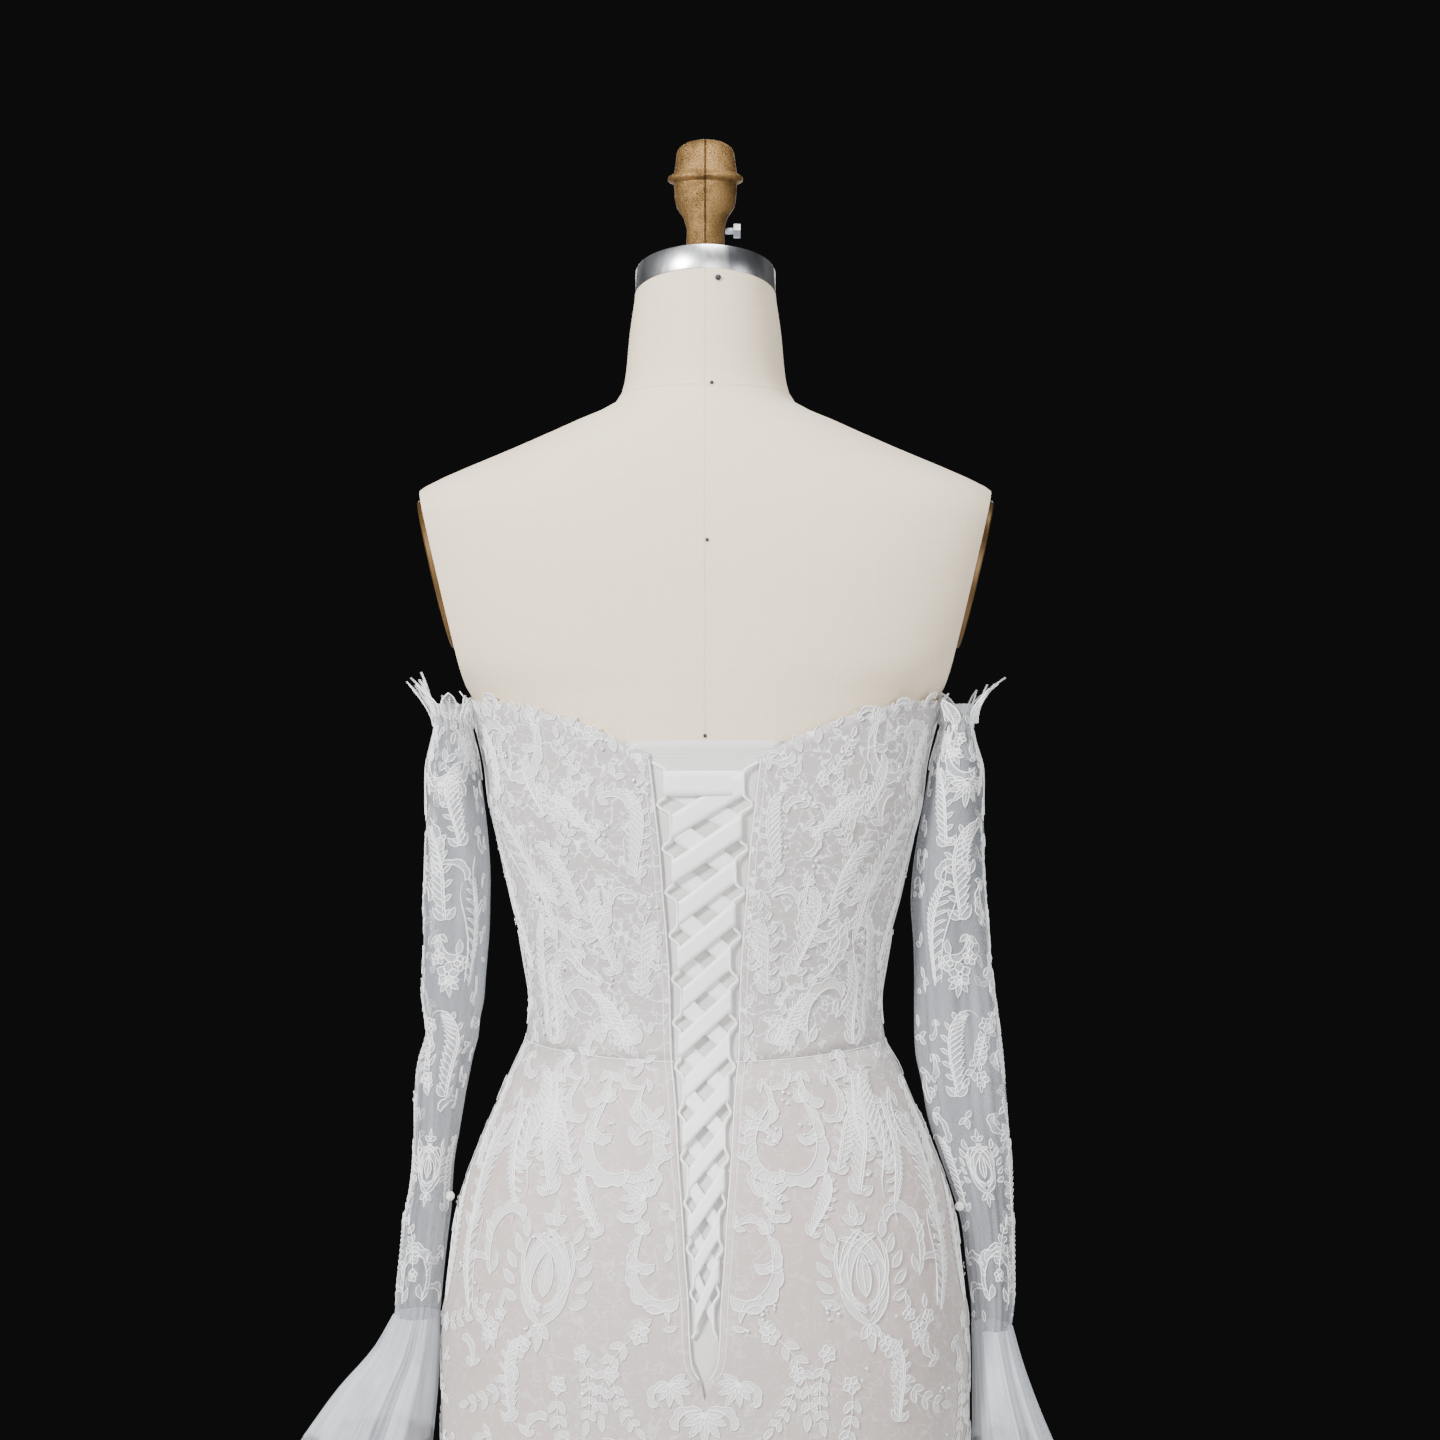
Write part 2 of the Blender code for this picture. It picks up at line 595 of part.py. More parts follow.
def make_sleeves():
    for side_name, side in (("left", -1), ("right", 1)):
        rows = SLEEVES[side_name]
        low, high = rows["z"][0], rows["z"][-1]
        heights = [low + (high - low) * i / SLEEVE_ROWS for i in range(SLEEVE_ROWS + 1)]
        surface = sleeve_surface(side_name, side)
        tube_wall(f"sleeve_{side_name}", surface, side, heights, SLEEVE_COLUMNS, (-NET, 0), "tulle")
        seam_z = low - SEAM_GAP
        drops = CUFFS[side_name]["drop"]
        cuff = cuff_surface(side_name, side)
        ruffle_z = [seam_z - d for d in drops]
        tube_wall(f"cuff_ruffle_{side_name}", cuff, side, ruffle_z, CUFF_COLUMNS, (-NET, 0), "tulle")

        def leaf(angle, side=side):
            """A pointed leaf's tip above the sleeve's top, leaning away from the body."""
            outer = 0.5 + 0.5 * math.cos(angle)
            tip = 1 - abs(2 * ((CROWN_LEAVES * angle / math.tau) % 1) - 1)
            return Vector((side * LEAF_LEAN * tip * outer, 0.0, SCALLOP_FOOT + LEAF_TALL * tip * outer))

        crown_z = [heights[-2], high, high]
        tube_wall(
            f"sleeve_crown_{side_name}", surface, side, crown_z, SLEEVE_COLUMNS, LACE_LIFTS, "lace", leaf
        )
        pearl(side_name, side, surface, heights[PEARL_ROW])


def pearl(side_name, side, surface, z):
    """The wrist button: a pearl on one of the sleeve's own points, turned to its back and inner side."""
    angle = math.tau / SLEEVE_COLUMNS * PEARL_COLUMN
    outward = normal_of(surface, angle, z) * side
    place = surface(angle, z) + outward * (PEARL_RADIUS + SEAM_GAP)
    builder = bmesh.new()
    bmesh.ops.create_uvsphere(builder, u_segments=8, v_segments=5, radius=PEARL_RADIUS)
    bmesh.ops.translate(builder, verts=builder.verts, vec=place)
    finish(f"pearl_button_{side_name}", builder, "pearl")


# The dress form and its stand
FORM_COLUMNS = 32
ARMHOLE_TIP_X, ARMHOLE_TIP_Z, ARMHOLE_LEAN = 0.195, 1.457, 0.237
PLATE_TALL, PLATE_THICK, PLATE_NARROW, PLATE_BELOW_TIP = 0.052, 0.004, 0.70, 0.006
CAP_TALL, CAP_RADIUS = 0.0184, 0.0482
FINIAL_Z, STEM_SPARE = 1.6282, 0.030
SHANK_LONG, SHANK_RADIUS, SCREW_RISE = 0.0059, 0.0019, 0.0082
HEAD_THICK, HEAD_RADIUS = 0.0046, 0.0053


def cut(builder, point, normal):
    """Takes away what lies beyond a plane and closes the cut."""
    everything = builder.verts[:] + builder.edges[:] + builder.faces[:]
    made = bmesh.ops.bisect_plane(
        builder, geom=everything, plane_co=point, plane_no=normal, clear_outer=True,
    )
    edges = [e for e in made["geom_cut"] if isinstance(e, bmesh.types.BMEdge)]
    bmesh.ops.contextual_create(builder, geom=edges)


def armhole_normal(side):
    return Vector((side, 0, -ARMHOLE_LEAN)).normalized()


def neck_normal():
    return Vector((0, NECK_TILT, 1)).normalized()


def make_form():
    builder = bmesh.new()
    rings = []
    for z in FORM_Z:
        turns = [math.tau * c / FORM_COLUMNS for c in range(FORM_COLUMNS)]
        rings.append([builder.verts.new(cloth_point(t, z, -FORM_UNDER_CLOTH)) for t in turns])
    for low, high in zip(rings, rings[1:]):
        for c in range(FORM_COLUMNS):
            right = (c + 1) % FORM_COLUMNS
            builder.faces.new((low[c], low[right], high[right], high[c]))
    builder.faces.new(list(reversed(rings[0])))
    builder.faces.new(rings[-1])
    for side in (-1, 1):
        cut(builder, Vector((side * ARMHOLE_TIP_X, 0, ARMHOLE_TIP_Z)), armhole_normal(side))
    cut(builder, Vector((0, 0, NECK_TOP_Z)), neck_normal())
    bmesh.ops.triangulate(builder, faces=builder.faces)
    finish("form_torso", builder, "form_linen")


def plate(name, place, axis, radius, thick, material, segments=24, narrow=1.0, bevel=0.001):
    """A round plate with softened rims, standing on its axis. narrow shrinks it along Y to an oval."""
    builder = bmesh.new()
    bmesh.ops.create_cone(
        builder, cap_ends=True, segments=segments, radius1=radius, radius2=radius, depth=thick,
        matrix=Matrix.Diagonal((1, narrow, 1, 1)),
    )
    rims = [e for e in builder.edges if abs(e.verts[0].co.z - e.verts[1].co.z) < 1e-6]
    bmesh.ops.bevel(builder, geom=rims, offset=bevel, segments=1, affect="EDGES", profile=0.5)
    turned = Vector((0, 0, 1)).rotation_difference(axis).to_matrix().to_4x4()
    builder.transform(Matrix.Translation(place) @ turned)
    return finish(name, builder, material)


def make_fittings():
    for side_name, side in (("left", -1), ("right", 1)):
        axis = armhole_normal(side)
        down = Vector((-side * ARMHOLE_LEAN, 0, -1)).normalized()
        tip = Vector((side * ARMHOLE_TIP_X, -0.004, ARMHOLE_TIP_Z))
        place = tip + down * (PLATE_TALL + PLATE_BELOW_TIP) + axis * (SEAM_GAP + PLATE_THICK / 2)
        name = f"armhole_plate_{side_name}"
        plate(name, place, axis, PLATE_TALL, PLATE_THICK, "armhole_brown", narrow=PLATE_NARROW)
    neck_top = Vector((0, 0, NECK_TOP_Z))
    cap_place = neck_top + neck_normal() * (SEAM_GAP + CAP_TALL / 2)
    plate("neck_cap", cap_place, neck_normal(), CAP_RADIUS, CAP_TALL, "steel", segments=32)
    make_finial(neck_top + neck_normal() * (CAP_TALL + 2 * SEAM_GAP))
    make_set_screw()
    upright = Vector((0, 0, 1))
    base_place = Vector((0, 0, BASE_THICK / 2))
    plate("stand_base", base_place, upright, BASE_RADIUS, BASE_THICK, "stand_black", 32, bevel=0.003)
    pole_low, pole_high = BASE_THICK + SEAM_GAP, FORM_BOTTOM_Z - SEAM_GAP
    pole_place = Vector((0, 0, (pole_low + pole_high) / 2))
    plate("stand_pole", pole_place, upright, POLE_RADIUS, pole_high - pole_low, "stand_black", 16)


def make_finial(foot):
    """The turned finial, its stem cut to the cap's slope."""
    builder = bmesh.new()
    profile = [(FINIAL["radius"][0], -STEM_SPARE), *zip(FINIAL["radius"], FINIAL["z"])]
    line = [builder.verts.new((radius, 0, z)) for radius, z in profile]
    edges = [builder.edges.new(pair) for pair in zip(line, line[1:])]
    bmesh.ops.spin(
        builder, geom=line + edges, cent=(0, 0, 0), axis=(0, 0, 1), angle=math.tau,
        steps=14, use_merge=True,
    )
    bmesh.ops.remove_doubles(builder, verts=builder.verts, dist=1e-5)
    rim = [e for e in builder.edges if e.is_boundary]
    bmesh.ops.contextual_create(builder, geom=rim)
    bmesh.ops.translate(builder, verts=builder.verts, vec=(0, 0, FINIAL_Z))
    bmesh.ops.recalc_face_normals(builder, faces=builder.faces)
    cut(builder, foot, -neck_normal())
    finish("finial", builder, "gold_paint")


def extrude(builder, face, rise):
    """Raises a face, leaving a wall round it, and gives the raised face."""
    raised = bmesh.ops.extrude_face_region(builder, geom=[face])["geom"]
    corners = [v for v in raised if isinstance(v, bmesh.types.BMVert)]
    bmesh.ops.translate(builder, verts=corners, vec=(0, 0, rise))
    return next(f for f in raised if isinstance(f, bmesh.types.BMFace))


def make_set_screw():
    """The hexagonal screw that clamps the finial: its head outwards and its shank against the stem."""
    builder = bmesh.new()
    bmesh.ops.create_circle(builder, cap_ends=True, segments=6, radius=HEAD_RADIUS)
    end = extrude(builder, builder.faces[:][0], HEAD_THICK)
    flat_share = math.cos(math.radians(30))
    bmesh.ops.inset_region(builder, faces=[end], thickness=(HEAD_RADIUS - SHANK_RADIUS) * flat_share)
    extrude(builder, end, SHANK_LONG)
    bmesh.ops.delete(builder, geom=[end], context="FACES_ONLY")
    reach = FINIAL["radius"][0] + SEAM_GAP + SHANK_LONG + HEAD_THICK
    turned = Matrix.Rotation(math.radians(-90), 4, "Y")
    builder.transform(Matrix.Translation((reach, 0, FINIAL_Z + SCREW_RISE)) @ turned)
    finish("set_screw", builder, "steel")


def main():
    for thing in list(bpy.data.objects):
        bpy.data.objects.remove(thing)
    gown = bpy.data.collections.new("mermaid_gown")
    bpy.context.scene.collection.children.link(gown)
    for name, colour, roughness, metallic in zip(*FINISHES.values()):
        material = bpy.data.materials.new(name)
        material.use_nodes = True
        shader = material.node_tree.nodes["Principled BSDF"]
        shader.inputs["Base Color"].default_value = (*colour, 1)
        shader.inputs["Roughness"].default_value = roughness
        shader.inputs["Metallic"].default_value = metallic
    make_panels()
    make_modesty_panel()
    make_loop_cords()
    make_ribbon()
    make_sleeves()
    make_form()
    make_fittings()


main()
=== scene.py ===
# Mermaid gown with a laced back and long sheer sleeves, on a limbless dress form.
# Metres. The back faces -Y. A spot on a cloth is a share of its girth, from the centre back
# towards +X, and a height.
import math
import random

import bmesh
import bpy
import numpy as np
from mathutils import Matrix, Vector


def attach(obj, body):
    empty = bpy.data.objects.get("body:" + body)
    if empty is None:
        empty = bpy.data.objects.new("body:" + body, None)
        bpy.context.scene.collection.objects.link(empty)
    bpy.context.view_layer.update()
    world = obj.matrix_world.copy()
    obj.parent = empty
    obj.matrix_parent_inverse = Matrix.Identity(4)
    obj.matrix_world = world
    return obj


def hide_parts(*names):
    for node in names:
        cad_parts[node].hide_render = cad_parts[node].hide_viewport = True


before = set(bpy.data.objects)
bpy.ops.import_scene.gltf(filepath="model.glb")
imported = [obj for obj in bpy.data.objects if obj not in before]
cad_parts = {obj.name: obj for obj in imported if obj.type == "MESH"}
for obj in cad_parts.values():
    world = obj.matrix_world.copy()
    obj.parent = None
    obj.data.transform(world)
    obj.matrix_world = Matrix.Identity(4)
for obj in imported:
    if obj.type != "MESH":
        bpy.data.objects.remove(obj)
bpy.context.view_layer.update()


# Node maths
def plug(tree, value, socket):
    # a wire is linked, anything else is set
    if isinstance(value, Wire):
        tree.links.new(value.socket, socket)
    else:
        socket.default_value = value


class Wire:
    # one output of a node, which can be added, multiplied and so on
    def __init__(self, tree, socket):
        self.tree, self.socket = tree, socket

    def maths(self, kind, *others):
        node = self.tree.nodes.new("ShaderNodeMath")
        node.operation = kind
        for socket, value in zip(node.inputs, (self, *others)):
            plug(self.tree, value, socket)
        return Wire(self.tree, node.outputs[0])

    def __add__(self, other): return self.maths("ADD", other)
    def __mul__(self, other): return self.maths("MULTIPLY", other)
    def __sub__(self, other): return self.maths("SUBTRACT", other)
    def __rsub__(self, other): return self * -1 + other
    def __truediv__(self, other): return self.maths("DIVIDE", other)
    def __pow__(self, other): return self.maths("POWER", other)
    __radd__ = __add__
    __rmul__ = __mul__

    def wave(self): return self.maths("SINE")
    def size(self): return self.maths("ABSOLUTE")
    def below(self, edge, soft): return ((edge - self) / soft + 0.5).clip()
    def clip(self): return self.maths("MAXIMUM", 0.0).maths("MINIMUM", 1.0)


class Finish:
    # a material: its Principled shader, and one method for every other node
    def __init__(self, name, colour, roughness, **constants):
        self.material = bpy.data.materials.new(name)
        self.material.use_nodes = True
        self.tree = self.material.node_tree
        self.shader = self.tree.nodes["Principled BSDF"]
        self.set(baseColor=(*colour, 1), roughness=roughness, **constants)

    def set(self, **values):
        names = {
            "baseColor": "Base Color", "roughness": "Roughness", "metallic": "Metallic", "alpha": "Alpha",
            "normal": "Normal", "sheen": "Sheen Weight", "sheenRoughness": "Sheen Roughness",
            "coat": "Coat Weight", "coatRoughness": "Coat Roughness", "ior": "IOR",
            "specular": "Specular IOR Level", "subsurface": "Subsurface Weight",
            "transmission": "Transmission Weight",
        }
        for name, value in values.items():
            plug(self.tree, value, self.shader.inputs[names[name]])

    def node(self, kind, settings=None, out=0, **sockets):
        node = self.tree.nodes.new(f"ShaderNode{kind}")
        for name, value in (settings or {}).items():
            if name == "ramp":
                ramp = node.color_ramp
                while len(ramp.elements) < len(value):
                    ramp.elements.new(0.5)
                for element, (place, colour) in zip(ramp.elements, value):
                    element.position, element.color = place, colour
            else:
                setattr(node, name, value)
        for name, value in sockets.items():
            key = int(name[1:]) if name[0] == "i" and name[1:].isdigit() else name.replace("_", " ")
            plug(self.tree, value, node.inputs[key])
        return Wire(self.tree, node.outputs[out])

    def place(self, scale=(1, 1, 1)):
        spot = self.node("TexCoord", out=3)
        return self.node("Mapping", Vector=spot, Scale=scale)

    def axes(self):
        split = self.node("SeparateXYZ", Vector=self.place())
        outputs = split.socket.node.outputs
        return [Wire(self.tree, outputs[i]) for i in range(3)]

    def noise(self, scale, detail=3.0, stretch=(1, 1, 1)):
        return self.node("TexNoise", Vector=self.place(stretch), Scale=scale, Detail=detail)

    def blend(self, share, first, second):
        return self.node("Mix", {"data_type": "RGBA"}, out=2, i0=share, i6=(*first, 1), i7=(*second, 1))

    def bump(self, height, strength, distance=0.001):
        return self.node("Bump", Height=height, Strength=strength, Distance=distance)


# Tables and curves through them
def columns(names, *rows):
    return {name: np.array([row[i] for row in rows], float) for i, name in enumerate(names.split())}


def along(table, column, places, key="z"):
    # a smooth curve through the rows that never goes past them
    knots, values = table[key], table[column]
    places = np.clip(np.asarray(places, float), knots[0], knots[-1])
    steps = np.diff(knots)
    rises = np.diff(values) / steps
    slopes = np.zeros(len(knots))
    both = rises[:-1] * rises[1:] > 0
    before, after = rises[:-1][both], rises[1:][both]
    slopes[1:-1][both] = 2 * before * after / (before + after)
    slopes[0], slopes[-1] = rises[0], rises[-1]
    low = np.clip(np.searchsorted(knots, places, side="right") - 1, 0, len(steps) - 1)
    part = (places - knots[low]) / steps[low]
    square, cube = part ** 2, part ** 3
    return (
        values[low] * (2 * cube - 3 * square + 1) + slopes[low] * steps[low] * (cube - 2 * square + part)
        + values[low + 1] * (3 * square - 2 * cube) + slopes[low + 1] * steps[low] * (cube - square)
    )


figure = columns(
    "z halfWidth back front squareness tilt flute",
    (0.008, 0.385, 0.425, 0.325, 2.0, 0, 0.026),
    (0.100, 0.336, 0.362, 0.284, 2.0, 0, 0.021),
    (0.200, 0.280, 0.290, 0.234, 2.0, 0, 0.014),
    (0.300, 0.228, 0.224, 0.186, 2.1, 0, 0.007),
    (0.400, 0.189, 0.165, 0.144, 2.1, 0, 0.002),
    (0.500, 0.172, 0.128, 0.113, 2.1, 0, 0),
    (0.600, 0.171, 0.114, 0.102, 2.1, 0, 0),
    (0.720, 0.177, 0.114, 0.100, 2.2, 0, 0),
    (0.820, 0.1815, 0.120, 0.101, 2.2, 0, 0),
    (0.882, 0.1806, 0.122, 0.101, 2.2, 0, 0),
    (0.925, 0.1766, 0.119, 0.100, 2.2, 0, 0),
    (0.963, 0.171, 0.114, 0.099, 2.2, 0, 0),
    (1.015, 0.1534, 0.102, 0.095, 2.2, 0, 0),
    (1.039, 0.143, 0.095, 0.092, 2.2, 0, 0),
    (1.065, 0.132, 0.087, 0.0895, 2.2, 0, 0),
    (1.0815, 0.1235, 0.0825, 0.0875, 2.2, 0, 0),
    (1.1075, 0.1205, 0.0805, 0.087, 2.2, 0, 0),
    (1.134, 0.1242, 0.0825, 0.089, 2.2, 0, 0),
    (1.164, 0.130, 0.086, 0.092, 2.3, 0, 0),
    (1.191, 0.1363, 0.0895, 0.097, 2.3, 0, 0),
    (1.221, 0.1431, 0.093, 0.103, 2.4, 0, 0),
    (1.243, 0.1482, 0.095, 0.106, 2.4, 0, 0),
    (1.2685, 0.1512, 0.096, 0.106, 2.4, 0, 0),
    (1.300, 0.159, 0.097, 0.102, 2.4, 0, 0),
    (1.314, 0.164, 0.0975, 0.099, 2.4, 0, 0),
    (1.338, 0.184, 0.098, 0.094, 2.5, 0, 0),
    (1.400, 0.203, 0.097, 0.084, 2.6, 0, 0),
    (1.440, 0.210, 0.092, 0.078, 2.6, 0.02, 0),
    (1.457, 0.203, 0.088, 0.074, 2.5, 0.04, 0),
    (1.464, 0.192, 0.086, 0.073, 2.4, 0.05, 0),
    (1.4728, 0.1725, 0.083, 0.071, 2.3, 0.07, 0),
    (1.4845, 0.1438, 0.078, 0.069, 2.2, 0.09, 0),
    (1.5045, 0.0974, 0.067, 0.066, 2.1, 0.12, 0),
    (1.5204, 0.064, 0.058, 0.061, 2.0, 0.15, 0),
    (1.535, 0.0595, 0.055, 0.058, 2.0, 0.18, 0),
    (1.565, 0.0565, 0.053, 0.054, 2.0, 0.24, 0),
    (1.591, 0.0527, 0.0515, 0.0515, 2.0, 0.30, 0),
)
neckRows = columns(
    "turn top",
    (0, 1.2775), (9.5, 1.278), (17, 1.2868), (25, 1.296), (33, 1.303), (57, 1.312), (90, 1.314),
    (115, 1.320), (135, 1.334), (150, 1.338), (165, 1.322), (180, 1.300),
)
placket = columns(
    "z halfGap",
    (0.850, 0.0), (0.864, 0.0012), (0.876, 0.0075), (0.889, 0.0092), (0.918, 0.0103),
    (0.945, 0.0125), (0.976, 0.0143), (1.010, 0.0170), (1.046, 0.0190), (1.080, 0.0220),
    (1.125, 0.0232), (1.155, 0.0250), (1.185, 0.0275), (1.213, 0.0295), (1.240, 0.0325), (1.280, 0.0372),
)
gown = {
    "flutes": 14, "cupRise": 0.020, "cupX": 0.074, "cupZ": 1.240, "cupSpread": 0.048, "cupTall": 0.052,
    "waistZ": 1.0815, "waistDip": 0.009, "hemZ": 0.008, "thick": 0.0016, "slitEnd": 0.864,
}


def power(value, exponent):
    return np.sign(value) * np.abs(value) ** exponent


def figurePoints(turn, z):
    # the gown's outer surface, or the form's where the gown ends
    turn, z = np.broadcast_arrays(np.asarray(turn, float), np.asarray(z, float))
    exponent = 2 / along(figure, "squareness", z)
    across, backwards = power(np.sin(turn), exponent), power(np.cos(turn), exponent)
    depth = np.where(backwards > 0, along(figure, "back", z), along(figure, "front", z))
    x = along(figure, "halfWidth", z) * across
    y = -depth * backwards
    cupAcross = np.exp(-((np.abs(x) - gown["cupX"]) / gown["cupSpread"]) ** 2)
    cupUp = np.exp(-((z - gown["cupZ"]) / gown["cupTall"]) ** 2)
    y = np.where(y > 0, y + gown["cupRise"] * cupAcross * cupUp, y)
    swing = along(figure, "flute", z) * np.cos(gown["flutes"] * turn) * (0.8 + 0.2 * np.cos(3 * turn))
    away = np.hypot(x, y)
    return np.stack([x * (1 + swing / away), y * (1 + swing / away), z - along(figure, "tilt", z) * y], -1)


class Skin:
    # a cloth's surface as a fine net of points, even round its girth
    def __init__(self, pointsAt, low, high, rowGap, columnCount):
        self.low, self.high, self.columnCount = low, high, columnCount
        self.rowCount = int(round((high - low) / rowGap)) + 1
        self.heights = np.linspace(low, high, self.rowCount)
        turns = np.linspace(0, math.tau, 2 * columnCount + 1)
        rough = pointsAt(turns[None, :], self.heights[:, None])
        lengths = np.linalg.norm(np.diff(rough, axis=1), axis=2)
        arcs = np.hstack([np.zeros((self.rowCount, 1)), np.cumsum(lengths, axis=1)])
        self.girths = arcs[:, -1]
        self.shares = np.linspace(0, 1, columnCount + 1)
        self.turns = np.array([np.interp(self.shares * arc[-1], arc, turns) for arc in arcs])
        self.net = pointsAt(self.turns, self.heights[:, None])
        ring = self.net[:, :-1]
        roundIt = np.roll(ring, -1, axis=1) - np.roll(ring, 1, axis=1)
        upIt = np.gradient(self.net, axis=0)[:, :-1]
        normals = np.cross(roundIt, upIt)
        normals /= np.linalg.norm(normals, axis=2, keepdims=True)
        self.normals = np.concatenate([normals, normals[:, :1]], axis=1)

    def read(self, net, shares, heights):
        column = np.mod(shares, 1.0) * self.columnCount
        row = np.clip((heights - self.low) / (self.high - self.low), 0, 1) * (self.rowCount - 1)
        c = np.minimum(column.astype(int), self.columnCount - 1)
        r = np.minimum(row.astype(int), self.rowCount - 2)
        cPart, rPart = column - c, row - r
        if net.ndim == 3:
            cPart, rPart = cPart[..., None], rPart[..., None]
        lower = net[r, c] * (1 - cPart) + net[r, c + 1] * cPart
        upper = net[r + 1, c] * (1 - cPart) + net[r + 1, c + 1] * cPart
        return lower * (1 - rPart) + upper * rPart

    def at(self, shares, heights, lifts=0.0):
        shares, heights, lifts = np.broadcast_arrays(
            np.asarray(shares, float), np.asarray(heights, float), np.asarray(lifts, float))
        return self.read(self.net, shares, heights) + self.read(self.normals, shares, heights) * lifts[..., None]

    def turnAt(self, shares, heights):
        return self.read(self.turns, np.asarray(shares, float), np.asarray(heights, float))

    def girth(self, heights):
        return np.interp(heights, self.heights, self.girths)


gownSkin = Skin(figurePoints, 0.004, 1.372, 0.004, 720)
# the share of the girth at which the placket's edge lies, for each row of the net
firstFifth = slice(0, gownSkin.columnCount // 5)
edgeShares = np.array([
    np.interp(along(placket, "halfGap", z), row[firstFifth, 0], gownSkin.shares[firstFifth])
    for z, row in zip(gownSkin.heights, gownSkin.net)
])


def edgeShare(heights):
    return np.interp(heights, gownSkin.heights, edgeShares)


def shareAtX(x, heights):
    # the share at which the back of the figure reaches this x
    x, heights = np.broadcast_arrays(np.asarray(x, float), np.asarray(heights, float))
    made = []
    for spot, z in zip(x.ravel(), heights.ravel()):
        row = gownSkin.net[int(round((z - gownSkin.low) / (gownSkin.high - gownSkin.low) * (gownSkin.rowCount - 1)))]
        made.append(math.copysign(np.interp(abs(spot), row[firstFifth, 0], gownSkin.shares[firstFifth]), spot))
    return np.array(made).reshape(x.shape)


def neckline(turns):
    degrees = np.degrees(np.abs(np.remainder(np.asarray(turns) + math.pi, math.tau) - math.pi))
    return along(neckRows, "top", degrees, key="turn")


def waistline(turns):
    return gown["waistZ"] - gown["waistDip"] * np.cos(turns) ** 2


# Putting pieces in the scene
def keep(thing, finish, body="root", smooth=True):
    if thing.name not in bpy.context.scene.collection.objects:
        bpy.context.scene.collection.objects.link(thing)
    thing.data.materials.append(finish.material)
    if smooth and thing.type == "MESH":
        thing.data.shade_smooth()
    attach(thing, body)
    return thing


def meshPiece(name, builder, finish, sharp=None, thick=None):
    data = bpy.data.meshes.new(name)
    builder.to_mesh(data)
    builder.free()
    thing = keep(bpy.data.objects.new(name, data), finish)
    if sharp:
        data.set_sharp_from_angle(angle=math.radians(sharp))
    if thick:
        wall = thing.modifiers.new("wall", "SOLIDIFY")
        wall.thickness, wall.offset = thick, -1
    return thing


def laidGrid(across, up, place):
    # a flat grid whose corners are laid by place(acrossShares, upShares)
    builder = bmesh.new()
    bmesh.ops.create_grid(builder, x_segments=across, y_segments=up, size=0.5)
    flat = np.array([v.co[:2] for v in builder.verts]) + 0.5
    for corner, spot in zip(builder.verts, place(flat[:, 0], flat[:, 1])):
        corner.co = spot
    return builder


def threads(name, strands, skin, finish):
    # many fine cords as one curve; a strand is its shares, heights, lifts and radii in millimetres
    data = bpy.data.curves.new(name, "CURVE")
    data.dimensions = "3D"
    data.bevel_depth = 0.001
    data.bevel_resolution = 0
    spots = skin.at(*(np.concatenate([s[k] for s in strands]) for k in range(3)))
    spots = np.hstack([spots, np.ones((len(spots), 1))])
    start = 0
    for strand in strands:
        count = len(strand[0])
        spline = data.splines.new("POLY")
        spline.points.add(count - 1)
        spline.points.foreach_set("co", spots[start:start + count].ravel())
        spline.points.foreach_set("radius", strand[3])
        start += count
    thing = keep(bpy.data.objects.new(name, data), finish)
    print(name, len(strands), "strands", start, "points")
    return thing


# Finishes
def makeCloth():
    # blush lining under white net, which is thicker on the bodice; fine couched lines wander over it
    looks = {
        "blush": (0.585, 0.46, 0.415), "veil": (0.47, 0.44, 0.435), "line": (0.93, 0.93, 0.95),
        "net": 900, "bodiceZ": 1.075, "lineGaps": (62, 105), "lineHalf": 0.016,
    }
    cloth = Finish("blushLining", looks["blush"], 0.62, sheen=0.25, sheenRoughness=0.4)
    x, y, z = cloth.axes()
    patches = cloth.noise(7, 2, (1, 1, 0.5)).below(0.52, 0.35)
    high = 1 - z.below(looks["bodiceZ"], 0.05)
    veil = (0.42 + patches * 0.3 + high * 0.45).clip()
    wide, fine = ((cloth.noise(gap, 2) - 0.5).size().below(looks["lineHalf"], 0.014) for gap in looks["lineGaps"])
    lines = ((wide + fine * 0.7) * (high * 0.55 + patches * 0.18 + 0.12)).clip()
    weave = ((x + z) * looks["net"]).wave() * ((z - x + y) * looks["net"]).wave()
    ground = cloth.blend(veil, looks["blush"], looks["veil"])
    coloured = cloth.node("Mix", {"data_type": "RGBA"}, out=2, i0=lines, i6=ground, i7=(*looks["line"], 1))
    cloth.set(baseColor=coloured, normal=cloth.bump(weave * 0.15 + lines * 1.6, 0.45, 0.0006))
    return cloth


def makeThread():
    looks = {"low": (0.93, 0.93, 0.94), "high": (0.99, 0.99, 1.0)}
    thread = Finish("whiteThread", looks["high"], 0.42, sheen=0.3, sheenRoughness=0.3)
    thread.set(baseColor=thread.blend(thread.noise(160, 2), looks["low"], looks["high"]))
    return thread


def makeNet(name, cover, vary):
    # sheer net: cover is how much it hides
    looks = {"colour": (0.74, 0.78, 0.84), "fold": (60, 60, 3)}
    net = Finish(name, looks["colour"], 0.7, sheen=0.2, sheenRoughness=0.5)
    folds = net.noise(1.0, 2, looks["fold"])
    net.set(alpha=(cover - vary / 2 + folds * vary).clip())
    net.material.surface_render_method = "BLENDED"
    return net


